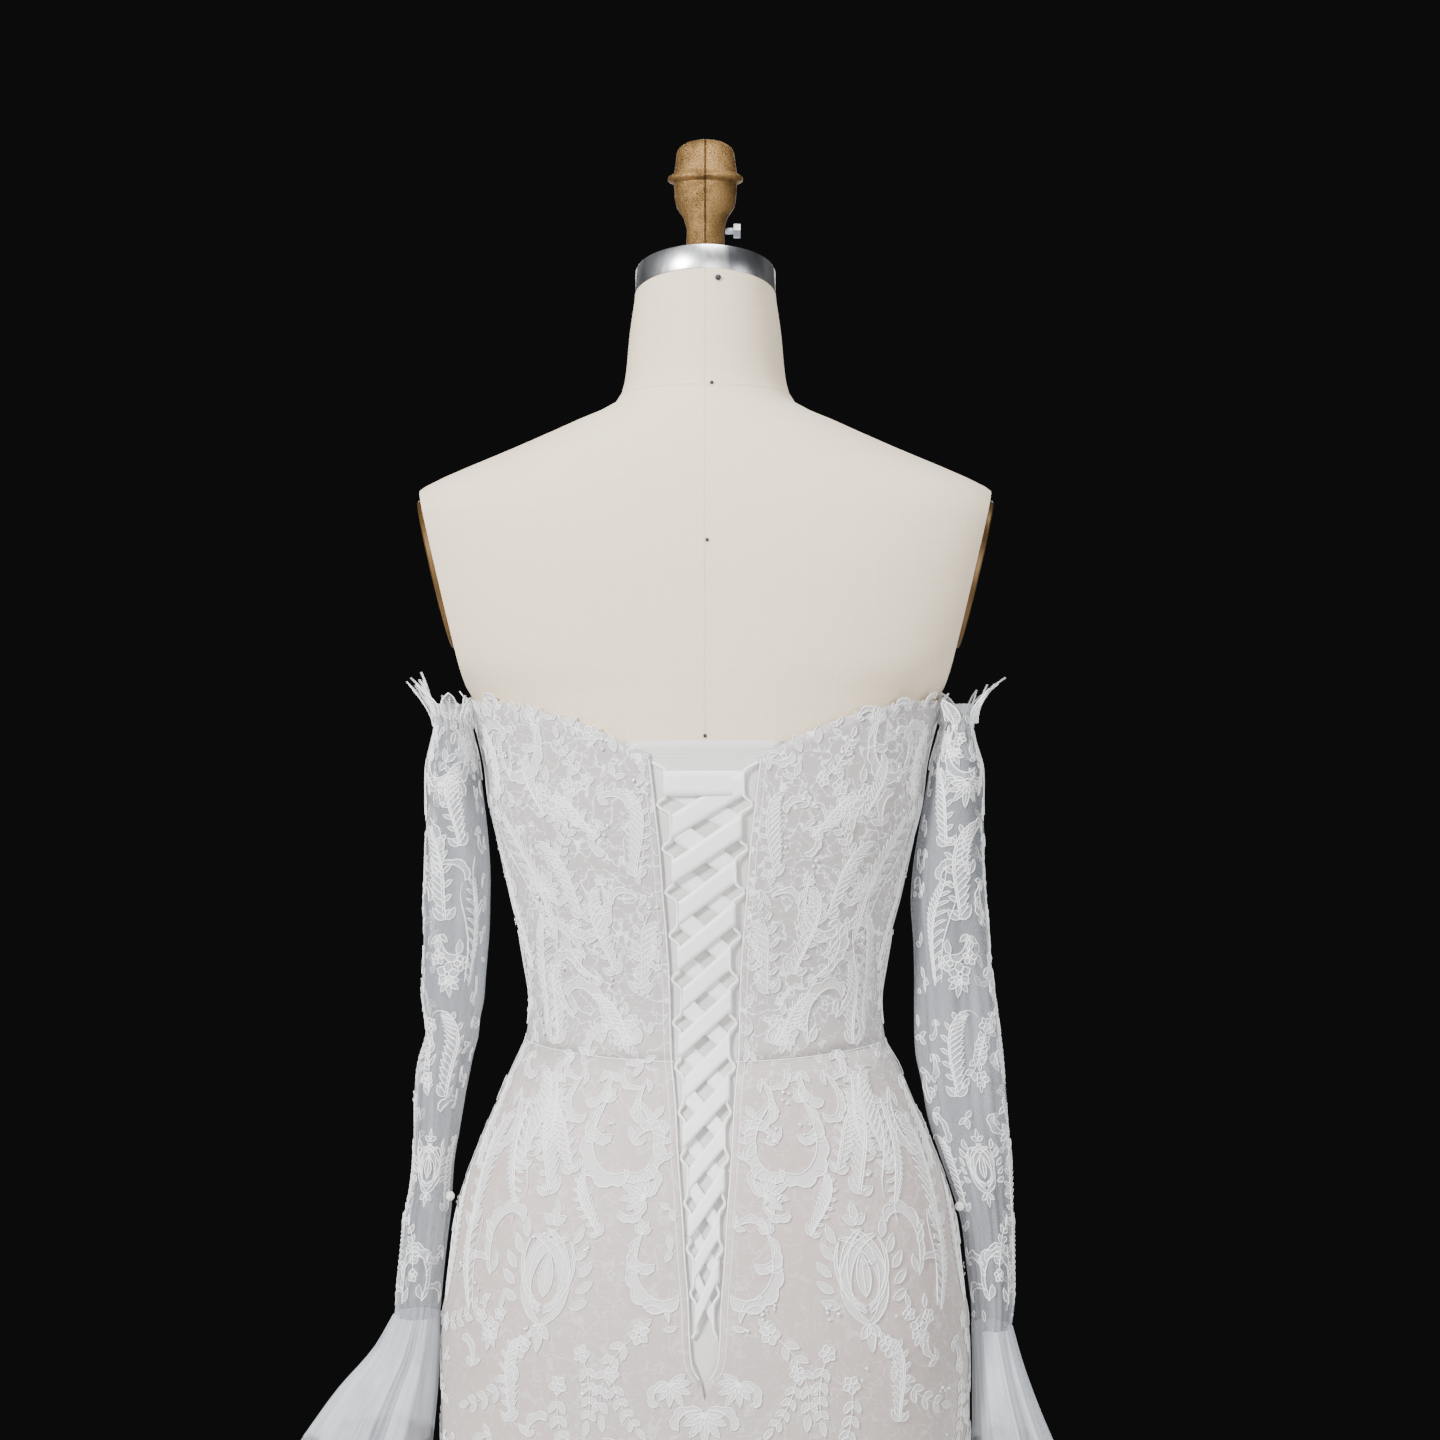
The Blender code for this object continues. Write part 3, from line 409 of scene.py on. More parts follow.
def makeSatin(name, colour, ribs, roughness):
    satin = Finish(name, colour, roughness, sheen=0.3, sheenRoughness=0.3)
    x, y, z = satin.axes()
    rib = (z * ribs).wave() * 0.5 + 0.5
    slub = satin.noise(90, 3)
    satin.set(normal=satin.bump(rib + slub * 0.6, 0.18, 0.0003),
              baseColor=satin.blend(slub, tuple(c * 0.95 for c in colour), colour))
    return satin


def makeLinen():
    # the form's cover: plain weave, a seam up the centre back and round the neck
    looks = {
        "cream": (0.85, 0.72, 0.54), "shade": (0.69, 0.56, 0.40), "seamZ": 1.5217, "seamFall": 0.08, "seamHalf": 0.0006,
        "warp": 2600,
    }
    linen = Finish("creamLinen", looks["cream"], 0.85, sheen=0.15, sheenRoughness=0.5)
    x, y, z = linen.axes()
    backSeam = x.size().below(looks["seamHalf"], 0.0006)
    neckSeam = (z + y * looks["seamFall"] - looks["seamZ"]).size().below(looks["seamHalf"], 0.0006)
    seam = (backSeam * y.below(0.0, 0.001) + neckSeam).clip()
    slub = linen.noise(1.0, 4, (40, 40, 900)) + linen.noise(1.0, 4, (900, 40, 40))
    weave = (x * looks["warp"]).wave() * (z * looks["warp"]).wave()
    mottle = linen.noise(6, 3)
    linen.set(baseColor=linen.blend((seam * 0.55 + (slub - 0.75) * 0.5 + mottle * 0.25).clip(), looks["cream"], looks["shade"]),
              normal=linen.bump(weave * 0.4 + slub * 0.6 - seam * 2.5, 0.22, 0.0005))
    return linen


def makeSteel():
    # the base colour is streaked with upright light and dark bands, painted reflections of the studio lamps; the
    # brushing itself is in the roughness and bump
    looks = {"light": (0.78, 0.79, 0.81), "dark": (0.26, 0.27, 0.29), "brush": (700, 700, 6), "reflectionBands": (40, 40, 1)}
    steel = Finish("brushedSteel", looks["light"], 0.30, metallic=0.95)
    grain = steel.noise(1.0, 3, looks["brush"])
    # painted reflection: noise bands that lighten and darken the steel's colour
    reflectionBands = steel.noise(1.0, 1, looks["reflectionBands"])
    steel.set(roughness=grain * 0.16 + 0.26, normal=steel.bump(grain, 0.12, 0.0003),
              baseColor=steel.blend(reflectionBands.below(0.5, 0.16), looks["light"], looks["dark"]))
    return steel


def makeGold():
    looks = {"bright": (0.43, 0.26, 0.10), "dark": (0.10, 0.055, 0.02), "seamHalf": 0.0005}
    gold = Finish("antiqueGold", looks["bright"], 0.42, metallic=0.92)
    x, y, z = gold.axes()
    speckle = gold.noise(1300, 2)
    seam = x.size().below(looks["seamHalf"], 0.0005) * y.below(0.0, 0.001)
    wear = gold.noise(55, 3).below(0.46, 0.22) * 0.5
    spots = speckle.below(0.47, 0.12) * 0.5
    gold.set(baseColor=gold.blend((wear + spots + seam * 0.8).clip(), looks["bright"], looks["dark"]),
             roughness=speckle * 0.35 + 0.34, normal=gold.bump(speckle * 2 - seam * 2, 0.8, 0.0006))
    return gold


def makePlain(name, colour, roughness, metallic=0.0, grain=300, **more):
    # a simple hard finish with a little wear in its gloss
    plain = Finish(name, colour, roughness, metallic=metallic, **more)
    mottle = plain.noise(grain, 3)
    plain.set(roughness=mottle * 0.12 + (roughness - 0.06), normal=plain.bump(mottle, 0.05, 0.0003),
              baseColor=plain.blend(mottle, tuple(c * 0.88 for c in colour), colour))
    return plain


print("finishes")
clothFinish = makeCloth()
threadFinish = makeThread()
ribbonFinish = makeSatin("ribbonSatin", (0.97, 0.97, 0.97), 5200, 0.42)
# the modesty panel's satin is painted a shaded grey: painted shade for the shadow behind the lacing, darker than the
# pale satin itself
shadedPanelFinish = makeSatin("panelSatinShaded", (0.70, 0.685, 0.67), 2400, 0.5)
sleeveNet = makeNet("sleeveNet", 0.27, 0.34)
cuffNet = makeNet("cuffNet", 0.34, 0.36)
linenFinish = makeLinen()
steelFinish = makeSteel()
goldFinish = makeGold()
brownFinish = makePlain("armholeBrown", (0.10, 0.045, 0.02), 0.3, coat=0.4)
rimFinish = makePlain("armholeRim", (0.15, 0.085, 0.03), 0.35, 0.6)
blackFinish = makePlain("standBlack", (0.03, 0.03, 0.032), 0.45, 0.3)
pearlFinish = makePlain("pearl", (0.90, 0.885, 0.85), 0.22, coat=0.5)
sequinFinish = makePlain("sequin", (0.95, 0.96, 0.98), 0.14, 0.15, coat=0.8)
pinFinish = makePlain("pinHead", (0.04, 0.04, 0.05), 0.25, 0.5)
pinSteel = makePlain("pinSteel", (0.55, 0.55, 0.56), 0.25, 1.0)


# The gown's cloth
def bodiceCloth():
    cut = {"across": 240, "up": 26, "thick": 0.0014}

    def place(across, up):
        shares = across
        for _ in range(4):
            turns = gownSkin.turnAt(shares, np.full_like(shares, 1.2))
            low = waistline(turns)
            top = neckline(gownSkin.turnAt(shares, np.full_like(shares, 1.30)))
            heights = low + up * (top - low)
            edge = edgeShare(heights)
            shares = np.clip(edge + across * (1 - 2 * edge), 0.0, 0.999999)
        return gownSkin.at(shares, heights)

    return meshPiece("bodiceCloth", laidGrid(cut["across"], cut["up"], place), clothFinish, thick=cut["thick"])


def skirtCloth():
    cut = {"across": 216, "up": 78, "thick": 0.0014}

    def place(across, up):
        shares = across
        for _ in range(4):
            turns = gownSkin.turnAt(shares, np.full_like(shares, 1.06))
            heights = gown["hemZ"] + up * (waistline(turns) - gown["hemZ"])
            edge = np.where(heights > gown["slitEnd"], edgeShare(heights), 0.0)
            shares = np.clip(edge + across * (1 - 2 * edge), 0.0, 0.999999)
        shares = np.where((across > 0.9999) & (edge == 0), 0.0, shares)
        return gownSkin.at(shares, heights)

    builder = laidGrid(cut["across"], cut["up"], place)
    bmesh.ops.remove_doubles(builder, verts=builder.verts, dist=1e-5)
    return meshPiece("skirtCloth", builder, clothFinish, thick=cut["thick"])


def modestyPanel():
    # the plain satin behind the lacing, with a turned top edge; its grey colour is painted shade for the shadow it lies
    # in under the lacing
    cut = {"low": 0.850, "top": 1.2865, "tuck": 0.014, "lift": -0.0025, "thick": 0.0012, "hem": 0.0007}

    def place(across, up):
        heights = cut["low"] + up * (cut["top"] - cut["low"])
        half = along(placket, "halfGap", heights) + cut["tuck"]
        hem = cut["hem"] * np.exp(-((heights - cut["top"] + 0.012) / 0.0008) ** 2)
        return gownSkin.at(shareAtX(half * (2 * across - 1), heights), heights, cut["lift"] - hem)

    return meshPiece("modestySatin", laidGrid(16, 80, place), shadedPanelFinish, thick=cut["thick"])


print("cloth")
bodice = bodiceCloth()
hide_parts(*(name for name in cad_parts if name.startswith("bodice_")))

skirt = skirtCloth()
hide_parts(*(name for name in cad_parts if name.startswith("skirt_")))

panel = modestyPanel()
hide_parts("modesty_panel")



# The lacing
lacing = {
    "loops": 13, "topZ": 1.2582, "pitch": 0.0291, "thick": 0.0009, "halfWide": 0.0083, "narrows": 0.14,
    "cord": 0.0010, "over": 0.0011, "under": -0.0009, "steps": 10, "runs": 8,
}
loopReach = columns("z reach", (0.90, 0.0044), (1.03, 0.0050), (1.10, 0.0068), (1.26, 0.0092))


def loopZ(level):
    return lacing["topZ"] - level * lacing["pitch"]


def foldX(level):
    return float(along(placket, "halfGap", loopZ(level)) - along(loopReach, "reach", loopZ(level)))


def backSpots(points):
    # x, height and lift on the gown's back, as places
    x, z, lift = np.array(points, float).T
    return gownSkin.at(shareAtX(x, z), z, lift)


def ribbonRoute():
    middle = (lacing["over"] + lacing["under"]) / 2
    radius = (lacing["over"] - lacing["under"]) / 2

    def fold(side, level, downwards):
        angles = [math.pi * k / lacing["steps"] for k in range(lacing["steps"] + 1)]
        way = 1 if downwards else -1
        return [(side * (foldX(level) + radius * math.sin(a)), loopZ(level), middle + way * radius * math.cos(a)) for a in angles]

    def run(start, end):
        shares = [k / lacing["runs"] for k in range(1, lacing["runs"])]
        return [tuple(a + (b - a) * share for a, b in zip(start, end)) for share in shares]

    halves = []
    for side in (1, -1):
        route, upper, here = [], side > 0, side
        for level in range(1, lacing["loops"]):
            lift = lacing["over"] if upper else lacing["under"]
            start = (here * foldX(level - 1), loopZ(level - 1), lift)
            end = (-here * foldX(level), loopZ(level), lift)
            route += run(start, end)
            here = -here
            route += [end] if level == lacing["loops"] - 1 else fold(here, level, upper)
            upper = not upper
        halves.append(route)
    right, left = fold(1, 0, False), fold(-1, 0, True)
    return halves[1][::-1] + left[::-1] + run(left[0], right[0]) + right + halves[0]


def makeRibbon():
    route = np.array(ribbonRoute())
    along2 = np.gradient(route, axis=0)
    up = (route[:, 1] - loopZ(lacing["loops"] - 1)) / (loopZ(0) - loopZ(lacing["loops"] - 1))
    half = lacing["halfWide"] * (1 - lacing["narrows"] * (1 - up))
    lengths = np.hypot(along2[:, 0], along2[:, 2])
    thickX = -along2[:, 2] / lengths * lacing["thick"] / 2
    thickLift = along2[:, 0] / lengths * lacing["thick"] / 2
    last = len(route) - 1

    def place(across, up):
        row = np.rint(across * last).astype(int)
        way = 2 * up - 1
        crease = 0.00022 * np.cos(way * math.pi * 1.5) * np.cos(row * 0.9)
        return backSpots(np.stack([
            route[row, 0] + thickX[row], route[row, 1] + way * half[row], route[row, 2] + thickLift[row] + crease * 0.4], 1))

    builder = laidGrid(last, 4, place)
    bmesh.ops.recalc_face_normals(builder, faces=builder.faces)
    ribbon = meshPiece("lacingRibbon", builder, ribbonFinish, thick=lacing["thick"] * 0.95)
    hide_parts("lacing_ribbon")
    return ribbon


def makeLoops():
    # the loops are one scalloped cord down each edge
    middle = (lacing["over"] + lacing["under"]) / 2
    shape = columns(
        "rise reach lift",
        (0.0125, 0.80, -0.0001), (0.0108, 0.42, 0.0003), (0.0092, 0.14, 0.0006), (0.0074, 0.02, 0.0009),
        (0.0036, 0.0, middle), (-0.0036, 0.0, middle),
        (-0.0074, 0.02, 0.0009), (-0.0092, 0.14, 0.0006), (-0.0108, 0.42, 0.0003), (-0.0125, 0.80, -0.0001),
    )
    inset, cuspLift, endRise = lacing["cord"] + 0.0004, -0.0003, 0.0138

    def edgeAt(z):
        return float(along(placket, "halfGap", z)) - inset

    for sideName, side in (("left", -1), ("right", 1)):
        points = [(side * edgeAt(loopZ(0) + endRise), loopZ(0) + endRise, cuspLift)]
        for level in range(lacing["loops"]):
            for rise, reach, lift in zip(shape["rise"], shape["reach"], shape["lift"]):
                z = loopZ(level) + rise
                x = foldX(level) + reach * (edgeAt(z) - foldX(level))
                points.append((side * x, z, lift))
            drop = endRise if level == lacing["loops"] - 1 else lacing["pitch"] / 2
            points.append((side * edgeAt(loopZ(level) - drop), loopZ(level) - drop, cuspLift))
        data = bpy.data.curves.new(f"loopCord_{sideName}", "CURVE")
        data.dimensions = "3D"
        data.bevel_depth = lacing["cord"]
        data.bevel_resolution = 2
        data.use_fill_caps = True
        spots = backSpots(points)
        spline = data.splines.new("POLY")
        spline.points.add(len(spots) - 1)
        for corner, spot in zip(spline.points, spots):
            corner.co = (*spot, 1)
        cord = keep(bpy.data.objects.new(f"loopCord_{sideName}", data), ribbonFinish)
        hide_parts(f"loop_cord_{sideName}")


print("lacing")
makeRibbon()
makeLoops()


# Lace: motifs are drawn in millimetres, growing up from their own foot, and then laid on a cloth
def route(start, heading, length, curls, count):
    # a line whose bend, in radians a millimetre, runs evenly through the given values
    bends = np.interp(np.linspace(0, 1, count), np.linspace(0, 1, len(curls)), curls)
    step = length / (count - 1)
    turned = np.concatenate([[0], np.cumsum((bends[1:] + bends[:-1]) / 2) * step])
    headings = math.radians(heading) + turned
    middle = (headings[1:] + headings[:-1]) / 2
    steps = np.stack([np.cos(middle), np.sin(middle)], 1) * step
    return np.array(start, float) + np.concatenate([np.zeros((1, 2)), np.cumsum(steps, 0)]), headings


class Motif:
    def __init__(self):
        self.cords, self.blades = [], []

    def cord(self, spots, thick, ends=(0.5, 0.3)):
        radii = thick * 0.92 * np.interp(np.linspace(0, 1, len(spots)), (0, 0.15, 0.7, 1), (ends[0], 1, 1, ends[1]))
        self.cords.append((spots, radii))

    def blade(self, spots, headings, left, right, thick):
        # a strip of fill with a cord round its edge
        across = np.stack([-np.sin(headings), np.cos(headings)], 1)
        first, second = spots + across * left[:, None], spots - across * right[:, None]
        self.blades.append(np.stack([first, spots, second], 1))
        self.cord(np.concatenate([first, second[-2::-1]]), thick, (0.8, 0.8))

    def leaf(self, start, heading, length, width, bend=0.0, thick=0.42, vein=False):
        count = 5 if length < 9 else 6 if length < 16 else 8
        spots, headings = route(start, heading, length, (bend, bend), count)
        share = np.linspace(0, 1, count)
        half = width / 2 * np.sin(math.pi * share ** 0.85) ** 0.8
        self.blade(spots, headings, half, half, thick)
        if vein:
            self.cord(spots[:-1], thick * 0.8)

    def scroll(self, start, heading, length, width, curls, lobes=0, side=1, thick=0.5):
        # a broad strip that ends in a rounded curl, with lobes along one edge
        count = max(9, int(length / 3.2), lobes * 4 + 1)
        spots, headings = route(start, heading, length, curls, count)
        share = np.linspace(0, 1, count)
        swell = np.interp(share, (0, 0.15, 0.6, 0.9, 1), (0.1, 0.45, 1, 0.8, 0))
        outer = width * swell * (0.62 + 0.38 * np.abs(np.sin(math.pi * lobes * share)) if lobes else 0.6)
        inner = width * swell * 0.3
        left, right = (outer, inner) if side > 0 else (inner, outer)
        self.blade(spots, headings, left, right, thick)

    def plume(self, length, curls, longest, width, gap, side=1, inner=0.35, lean=32, start=(0, 0), heading=90):
        # a double stem with long leaves on its outer side and short ones inside
        count = max(12, int(length / 3))
        spots, headings = route(start, heading, length, curls, count)
        across = np.stack([-np.sin(headings), np.cos(headings)], 1)
        self.cord(spots, 0.62, (0.9, 0.4))
        self.cord(spots[: int(count * 0.8)] + across[: int(count * 0.8)] * side * 1.7, 0.5)
        reach = length * 0.80
        total = int(reach / gap)
        for k in range(total):
            share = (k + 0.6) / total
            place = share * 0.80
            at = np.array([np.interp(place, np.linspace(0, 1, count), spots[:, i]) for i in (0, 1)])
            facing = math.degrees(np.interp(place, np.linspace(0, 1, count), headings))
            full = math.sin(math.pi * (0.12 + 0.80 * share)) ** 0.7
            self.leaf(at, facing + side * lean, longest * full, width, side * 0.035)
            if inner and k % 2 == 0:
                self.leaf(at, facing - side * (lean + 8), longest * inner * full + 2, width * 0.75, -side * 0.05)

    def sprig(self, length, pairs, leafLong, leafWide, bend=0.004, start=(0, 0), heading=90):
        spots, headings = route(start, heading, length, (bend, bend), 8)
        self.cord(spots, 0.45)
        for k in range(pairs):
            place = (k + 0.7) / (pairs + 0.4)
            at = [np.interp(place, np.linspace(0, 1, 8), spots[:, i]) for i in (0, 1)]
            facing = math.degrees(np.interp(place, np.linspace(0, 1, 8), headings))
            for side in (-1, 1):
                self.leaf(at, facing + side * 48, leafLong * (1 - 0.25 * place), leafWide, -side * 0.04)
        self.leaf(spots[-1], math.degrees(headings[-1]), leafLong * 1.1, leafWide)

    def blossom(self, at, radius, turn=0.0):
        for k in range(5):
            facing = turn + 72 * k
            foot = np.array(at) + 0.15 * radius * np.array([math.cos(math.radians(facing)), math.sin(math.radians(facing))])
            self.leaf(foot, facing, radius * 0.9, radius * 0.80, thick=0.5)
        ring = np.linspace(0, math.tau, 7)
        self.cord(np.array(at) + np.stack([np.cos(ring), np.sin(ring)], 1) * radius * 0.2, 0.6, (1, 1))

    def fan(self, count, longest, width, spread, start=(0, 0), heading=90):
        for k in range(count):
            part = (k / (count - 1) - 0.5) * 2
            self.leaf(start, heading - part * spread, longest * (1 - 0.35 * abs(part)), width, -part * 0.03, vein=longest > 17)


def growPlume():
    made = Motif()
    made.plume(88, (-0.006, 0.004, 0.030, 0.12), 19, 4.2, 5.0)
    made.leaf((-1, 0), 150, 13, 5, -0.05)
    made.leaf((1, 0), 35, 11, 4.5, 0.05)
    return made


def growReed():
    # two long parallel stems with close narrow leaves
    made = Motif()
    made.plume(104, (0.012, -0.012, -0.004, 0.045), 14, 3.0, 4.2, inner=0.9, lean=22)
    made.cord(route((5, 3), 84, 80, (0.014, -0.014, -0.004, 0.05), 24)[0], 0.55)
    return made


def growSwirl():
    made = Motif()
    made.scroll((0, 0), 70, 74, 7.5, (0.010, 0.022, 0.05, 0.13), 6, -1)
    made.scroll((3, 10), 20, 38, 6, (-0.02, -0.06, -0.13), 3, 1)
    made.leaf((0, 2), 130, 15, 5.5, -0.05)
    made.leaf((2, 24), 40, 12, 5, 0.04)
    made.leaf((3, 34), 20, 10, 4.5, 0.04)
    return made


def growHook():
    # a hanging scroll that hooks back on itself, with a lobed back
    made = Motif()
    made.scroll((0, 0), -120, 72, 8.5, (0.004, 0.030, 0.045, 0.10), 6, -1, 0.6)
    made.scroll((-1, -2), -150, 34, 6, (0.06, 0.10, 0.12), 3, -1)
    made.fan(4, 12, 4.8, 40, (0, 0), 70)
    made.leaf((-14, -22), -20, 12, 5, 0.05)
    return made


def growMedallion():
    made = Motif()
    made.leaf((0, 6), 90, 26, 9, thick=0.55, vein=True)
    for side in (-1, 1):
        for gap, long, width, first in ((1.5, 46, 2.2, 22), (4.5, 58, 4.6, 30), (11, 66, 6.5, 30)):
            spots, headings = route((side * 1.0, 2 - gap), 90 - side * (90 - first), long, (side * 0.050, side * 0.030, side * 0.046), 18)
            share = np.linspace(0, 1, 18)
            half = width / 2 * np.sin(math.pi * (0.06 + 0.94 * share)) ** 0.6
            made.blade(spots, headings, half, half, 0.5)
        for k in range(5):
            made.leaf((side * (17 + 3 * math.sin(k)), 2 + 9 * k), 90 - side * (75 - 12 * k), 12, 5, side * 0.03)
    made.fan(3, 17, 5.5, 30, (0, -9), -90)
    made.fan(3, 14, 5, 45, (0, 47), 90)
    return made


def growSprig():
    made = Motif()
    made.sprig(46, 4, 11, 4.8, 0.012)
    made.blossom((0, -4), 6.5, 18)
    return made


def growGarland():
    made = Motif()
    made.sprig(64, 5, 12, 5.2, 0.016)
    made.blossom((-1, -5), 7.5, 50)
    made.fan(3, 10, 4.2, 55, (1, -9), -80)
    return made


def growBlossoms():
    made = Motif()
    made.blossom((0, 0), 9.5, 10)
    made.blossom((12, 9), 6.5, 40)
    made.blossom((-9, 13), 6, 25)
    made.fan(5, 15, 5, 70, (1, -4), -80)
    made.leaf((8, 16), 70, 12, 5, 0.04)
    made.leaf((-8, 19), 115, 11, 5, -0.04)
    return made


def growPalmette():
    made = Motif()
    made.fan(7, 23, 6, 78)
    for side in (-1, 1):
        made.scroll((side * 2, -2), 90 - side * 100, 28, 5, (side * 0.02, side * 0.09, side * 0.16), 3, -side)
    return made


def growCurl():
    made = Motif()
    made.scroll((0, 0), 90, 24, 4.6, (0.02, 0.09, 0.17), 3, -1)
    made.leaf((0, 0), 140, 8, 3.6)
    made.leaf((0, 1), 40, 9, 3.8)
    return made


def growPair():
    made = Motif()
    for heading, long in ((60, 9.5), (118, 9.5), (-80, 8)):
        made.leaf((0, 0), heading, long, 4)
    return made


def growBud():
    made = Motif()
    made.leaf((0, -4), 90, 8.5, 3.8)
    return made


def growStar():
    made = Motif()
    made.blossom((0, 0), 5.2, 15)
    return made


motifs = {
    "plume": growPlume(), "reed": growReed(), "swirl": growSwirl(), "hook": growHook(), "medallion": growMedallion(),
    "sprig": growSprig(), "garland": growGarland(), "blossoms": growBlossoms(), "palmette": growPalmette(),
    "curl": growCurl(), "pair": growPair(), "bud": growBud(), "star": growStar(),
}
for name, motif in motifs.items():
    print("motif", name, len(motif.blades), "blades", sum(len(c[0]) for c in motif.cords), "cord points")


def openCloth(shares, heights):
    # where the gown may carry lace: clear of the placket and no higher than the scallops
    turns = gownSkin.turnAt(shares, heights)
    nearest = np.abs(np.remainder(shares + 0.5, 1.0) - 0.5)
    clear = nearest * gownSkin.girth(heights) > edgeShare(heights) * gownSkin.girth(heights) + 0.0032
    return (clear | (heights < gown["slitEnd"] - 0.004)) & (heights < neckline(turns) + 0.007) & (heights > 0.012)


class Lace:
    # what is laid on one cloth; it remembers which cells are taken
    def __init__(self, skin, allowed, cell=0.006, girthGuess=0.8):
        self.skin, self.allowed, self.cell, self.guess = skin, allowed, cell, girthGuess
        self.cords, self.blades, self.taken = [], [], set()

    def cells(self, shares, heights):
        across = np.remainder(shares + 0.5, 1.0) * self.skin.girth(heights)
        offset = (across - 0.5 * self.skin.girth(heights)) / self.cell
        return set(zip(np.floor(offset).astype(int).tolist(), np.floor(heights / self.cell).astype(int).tolist()))

    def put(self, name, share, z, turn=0.0, size=1.0, flip=1):
        motif = motifs[name]
        angle = math.radians(turn)
        cosine, sine = math.cos(angle), math.sin(angle)
        pieces = [(spots, radii) for spots, radii in motif.cords] + [(blade, None) for blade in motif.blades]
        flat = np.concatenate([spots.reshape(-1, 2) for spots, _ in pieces])
        u = (flat[:, 0] * cosine - flat[:, 1] * sine) * size * flip
        v = (flat[:, 0] * sine + flat[:, 1] * cosine) * size
        heights = z + v / 1000
        shares = share + u / 1000 / self.skin.girth(heights)
        good = self.allowed(shares, heights)
        start, laid = 0, False
        for spots, radii in pieces:
            end = start + spots.size // 2
            if good[start:end].all():
                laid = True
                if radii is None:
                    self.blades.append((shares[start:end].reshape(spots.shape[:2]), heights[start:end].reshape(spots.shape[:2])))
                    self.taken |= self.cells(shares[start:end], heights[start:end])
                else:
                    count = end - start
                    self.cords.append((shares[start:end], heights[start:end], np.full(count, 0.0006), radii))
                    self.taken |= self.cells(shares[start:end], heights[start:end])
            start = end
        return laid

    def both(self, name, share, z, turn=0.0, size=1.0, flip=1):
        # the same on both sides of the centre back
        self.put(name, share, z, turn, size, flip)
        self.put(name, -share, z, turn, size, -flip)

    def fill(self, names, low, high, gap, around, seed, sizes=(0.8, 1.15), chance=1.0, span=(-0.5, 0.5)):
        # small motifs wherever a circle of this radius is still empty
        draw = random.Random(seed)
        rings = np.linspace(0, math.tau, 9)[:-1]
        z = low
        while z < high:
            girth = float(self.skin.girth(z)) * (span[1] - span[0])
            count = max(3, int(girth / gap))
            for k in range(count):
                share = span[0] + (k + draw.uniform(0.1, 0.9)) / count * (span[1] - span[0])
                height = z + draw.uniform(-0.4, 0.4) * gap
                name, turn, size = draw.choice(names), draw.uniform(0, 360), draw.uniform(*sizes)
                if draw.random() > chance:
                    continue
                near = np.concatenate([[0], np.cos(rings) * around]), np.concatenate([[0], np.sin(rings) * around])
                spots = self.cells(share + near[0] / float(self.skin.girth(height)), height + near[1])
                if not spots & self.taken:
                    self.put(name, share, height, turn, size, draw.choice((-1, 1)))
            z += gap

    def finish(self, name, bounds, threadLook, bladeLook, slotName="lace"):
        # one piece of cords and one of blades for each band of shares and heights
        made = []
        for k, (first, last, low, high) in enumerate(bounds):
            def inside(shares, heights):
                middle = np.remainder(np.mean(shares) + 0.5, 1.0) - 0.5
                return first <= middle < last and low <= np.mean(heights) < high

            cords = [c for c in self.cords if inside(c[0], c[1])]
            blades = [b for b in self.blades if inside(b[0], b[1])]
            if cords:
                made.append(threads(f"{name}Cord_{k + 1}", cords, self.skin, threadLook))
            if blades:
                made.append(bladeMesh(f"{name}Fill_{k + 1}", blades, self.skin, bladeLook))
        return made


def bladeMesh(name, blades, skin, finish):
    # each blade is a small grid three corners wide, raised along its middle
    builder = bmesh.new()
    lengths = []
    for shares, heights in blades:
        rows = len(shares)
        lifts = np.tile(np.array([0.00022, 0.00050, 0.00022]), (rows, 1))
        spots = skin.at(shares, heights, lifts)
        distance = np.concatenate([[0], np.cumsum(np.linalg.norm(np.diff(spots[:, 1], axis=0), axis=1))])
        grid = bmesh.ops.create_grid(builder, x_segments=2, y_segments=rows - 1, size=0.5)["verts"]
        for corner in grid:
            column, row = int(round((corner.co.x + 0.5) * 2)), int(round((corner.co.y + 0.5) * (rows - 1)))
            corner.co = spots[row, 2 - column]
            lengths.append(distance[row] * 1000)
    thing = meshPiece(name, builder, finish)
    stitch = thing.data.attributes.new("stitch", "FLOAT", "POINT")
    stitch.data.foreach_set("value", np.array(lengths, float))
    print(name, len(blades), "blades", len(thing.data.polygons) * 2, "triangles")
    return thing


def makeBladeFill(name, thread, ground, alpha=None):
    # ladder stitches across the blade, ground showing between them
    fill = Finish(name, thread, 0.55, sheen=0.3, sheenRoughness=0.3)
    stitch = fill.node("Attribute", {"attribute_name": "stitch"}, out=2)
    ladder = (stitch * (math.tau / 1.15)).wave() * 0.5 + 0.5
    fill.set(baseColor=fill.blend((ladder * 0.8 + fill.noise(120, 2) * 0.3).clip(), ground, thread),
             normal=fill.bump(ladder, 0.5, 0.0004))
    if alpha:
        fill.set(alpha=(ladder * (alpha[1] - alpha[0]) + alpha[0]).clip())
        fill.material.surface_render_method = "BLENDED"
    return fill


bladeFill = makeBladeFill("ladderStitch", (0.82, 0.81, 0.815), (0.55, 0.50, 0.485))
sleeveFill = makeBladeFill("ladderStitchSheer", (0.84, 0.87, 0.91), (0.66, 0.70, 0.76), (0.12, 0.52))


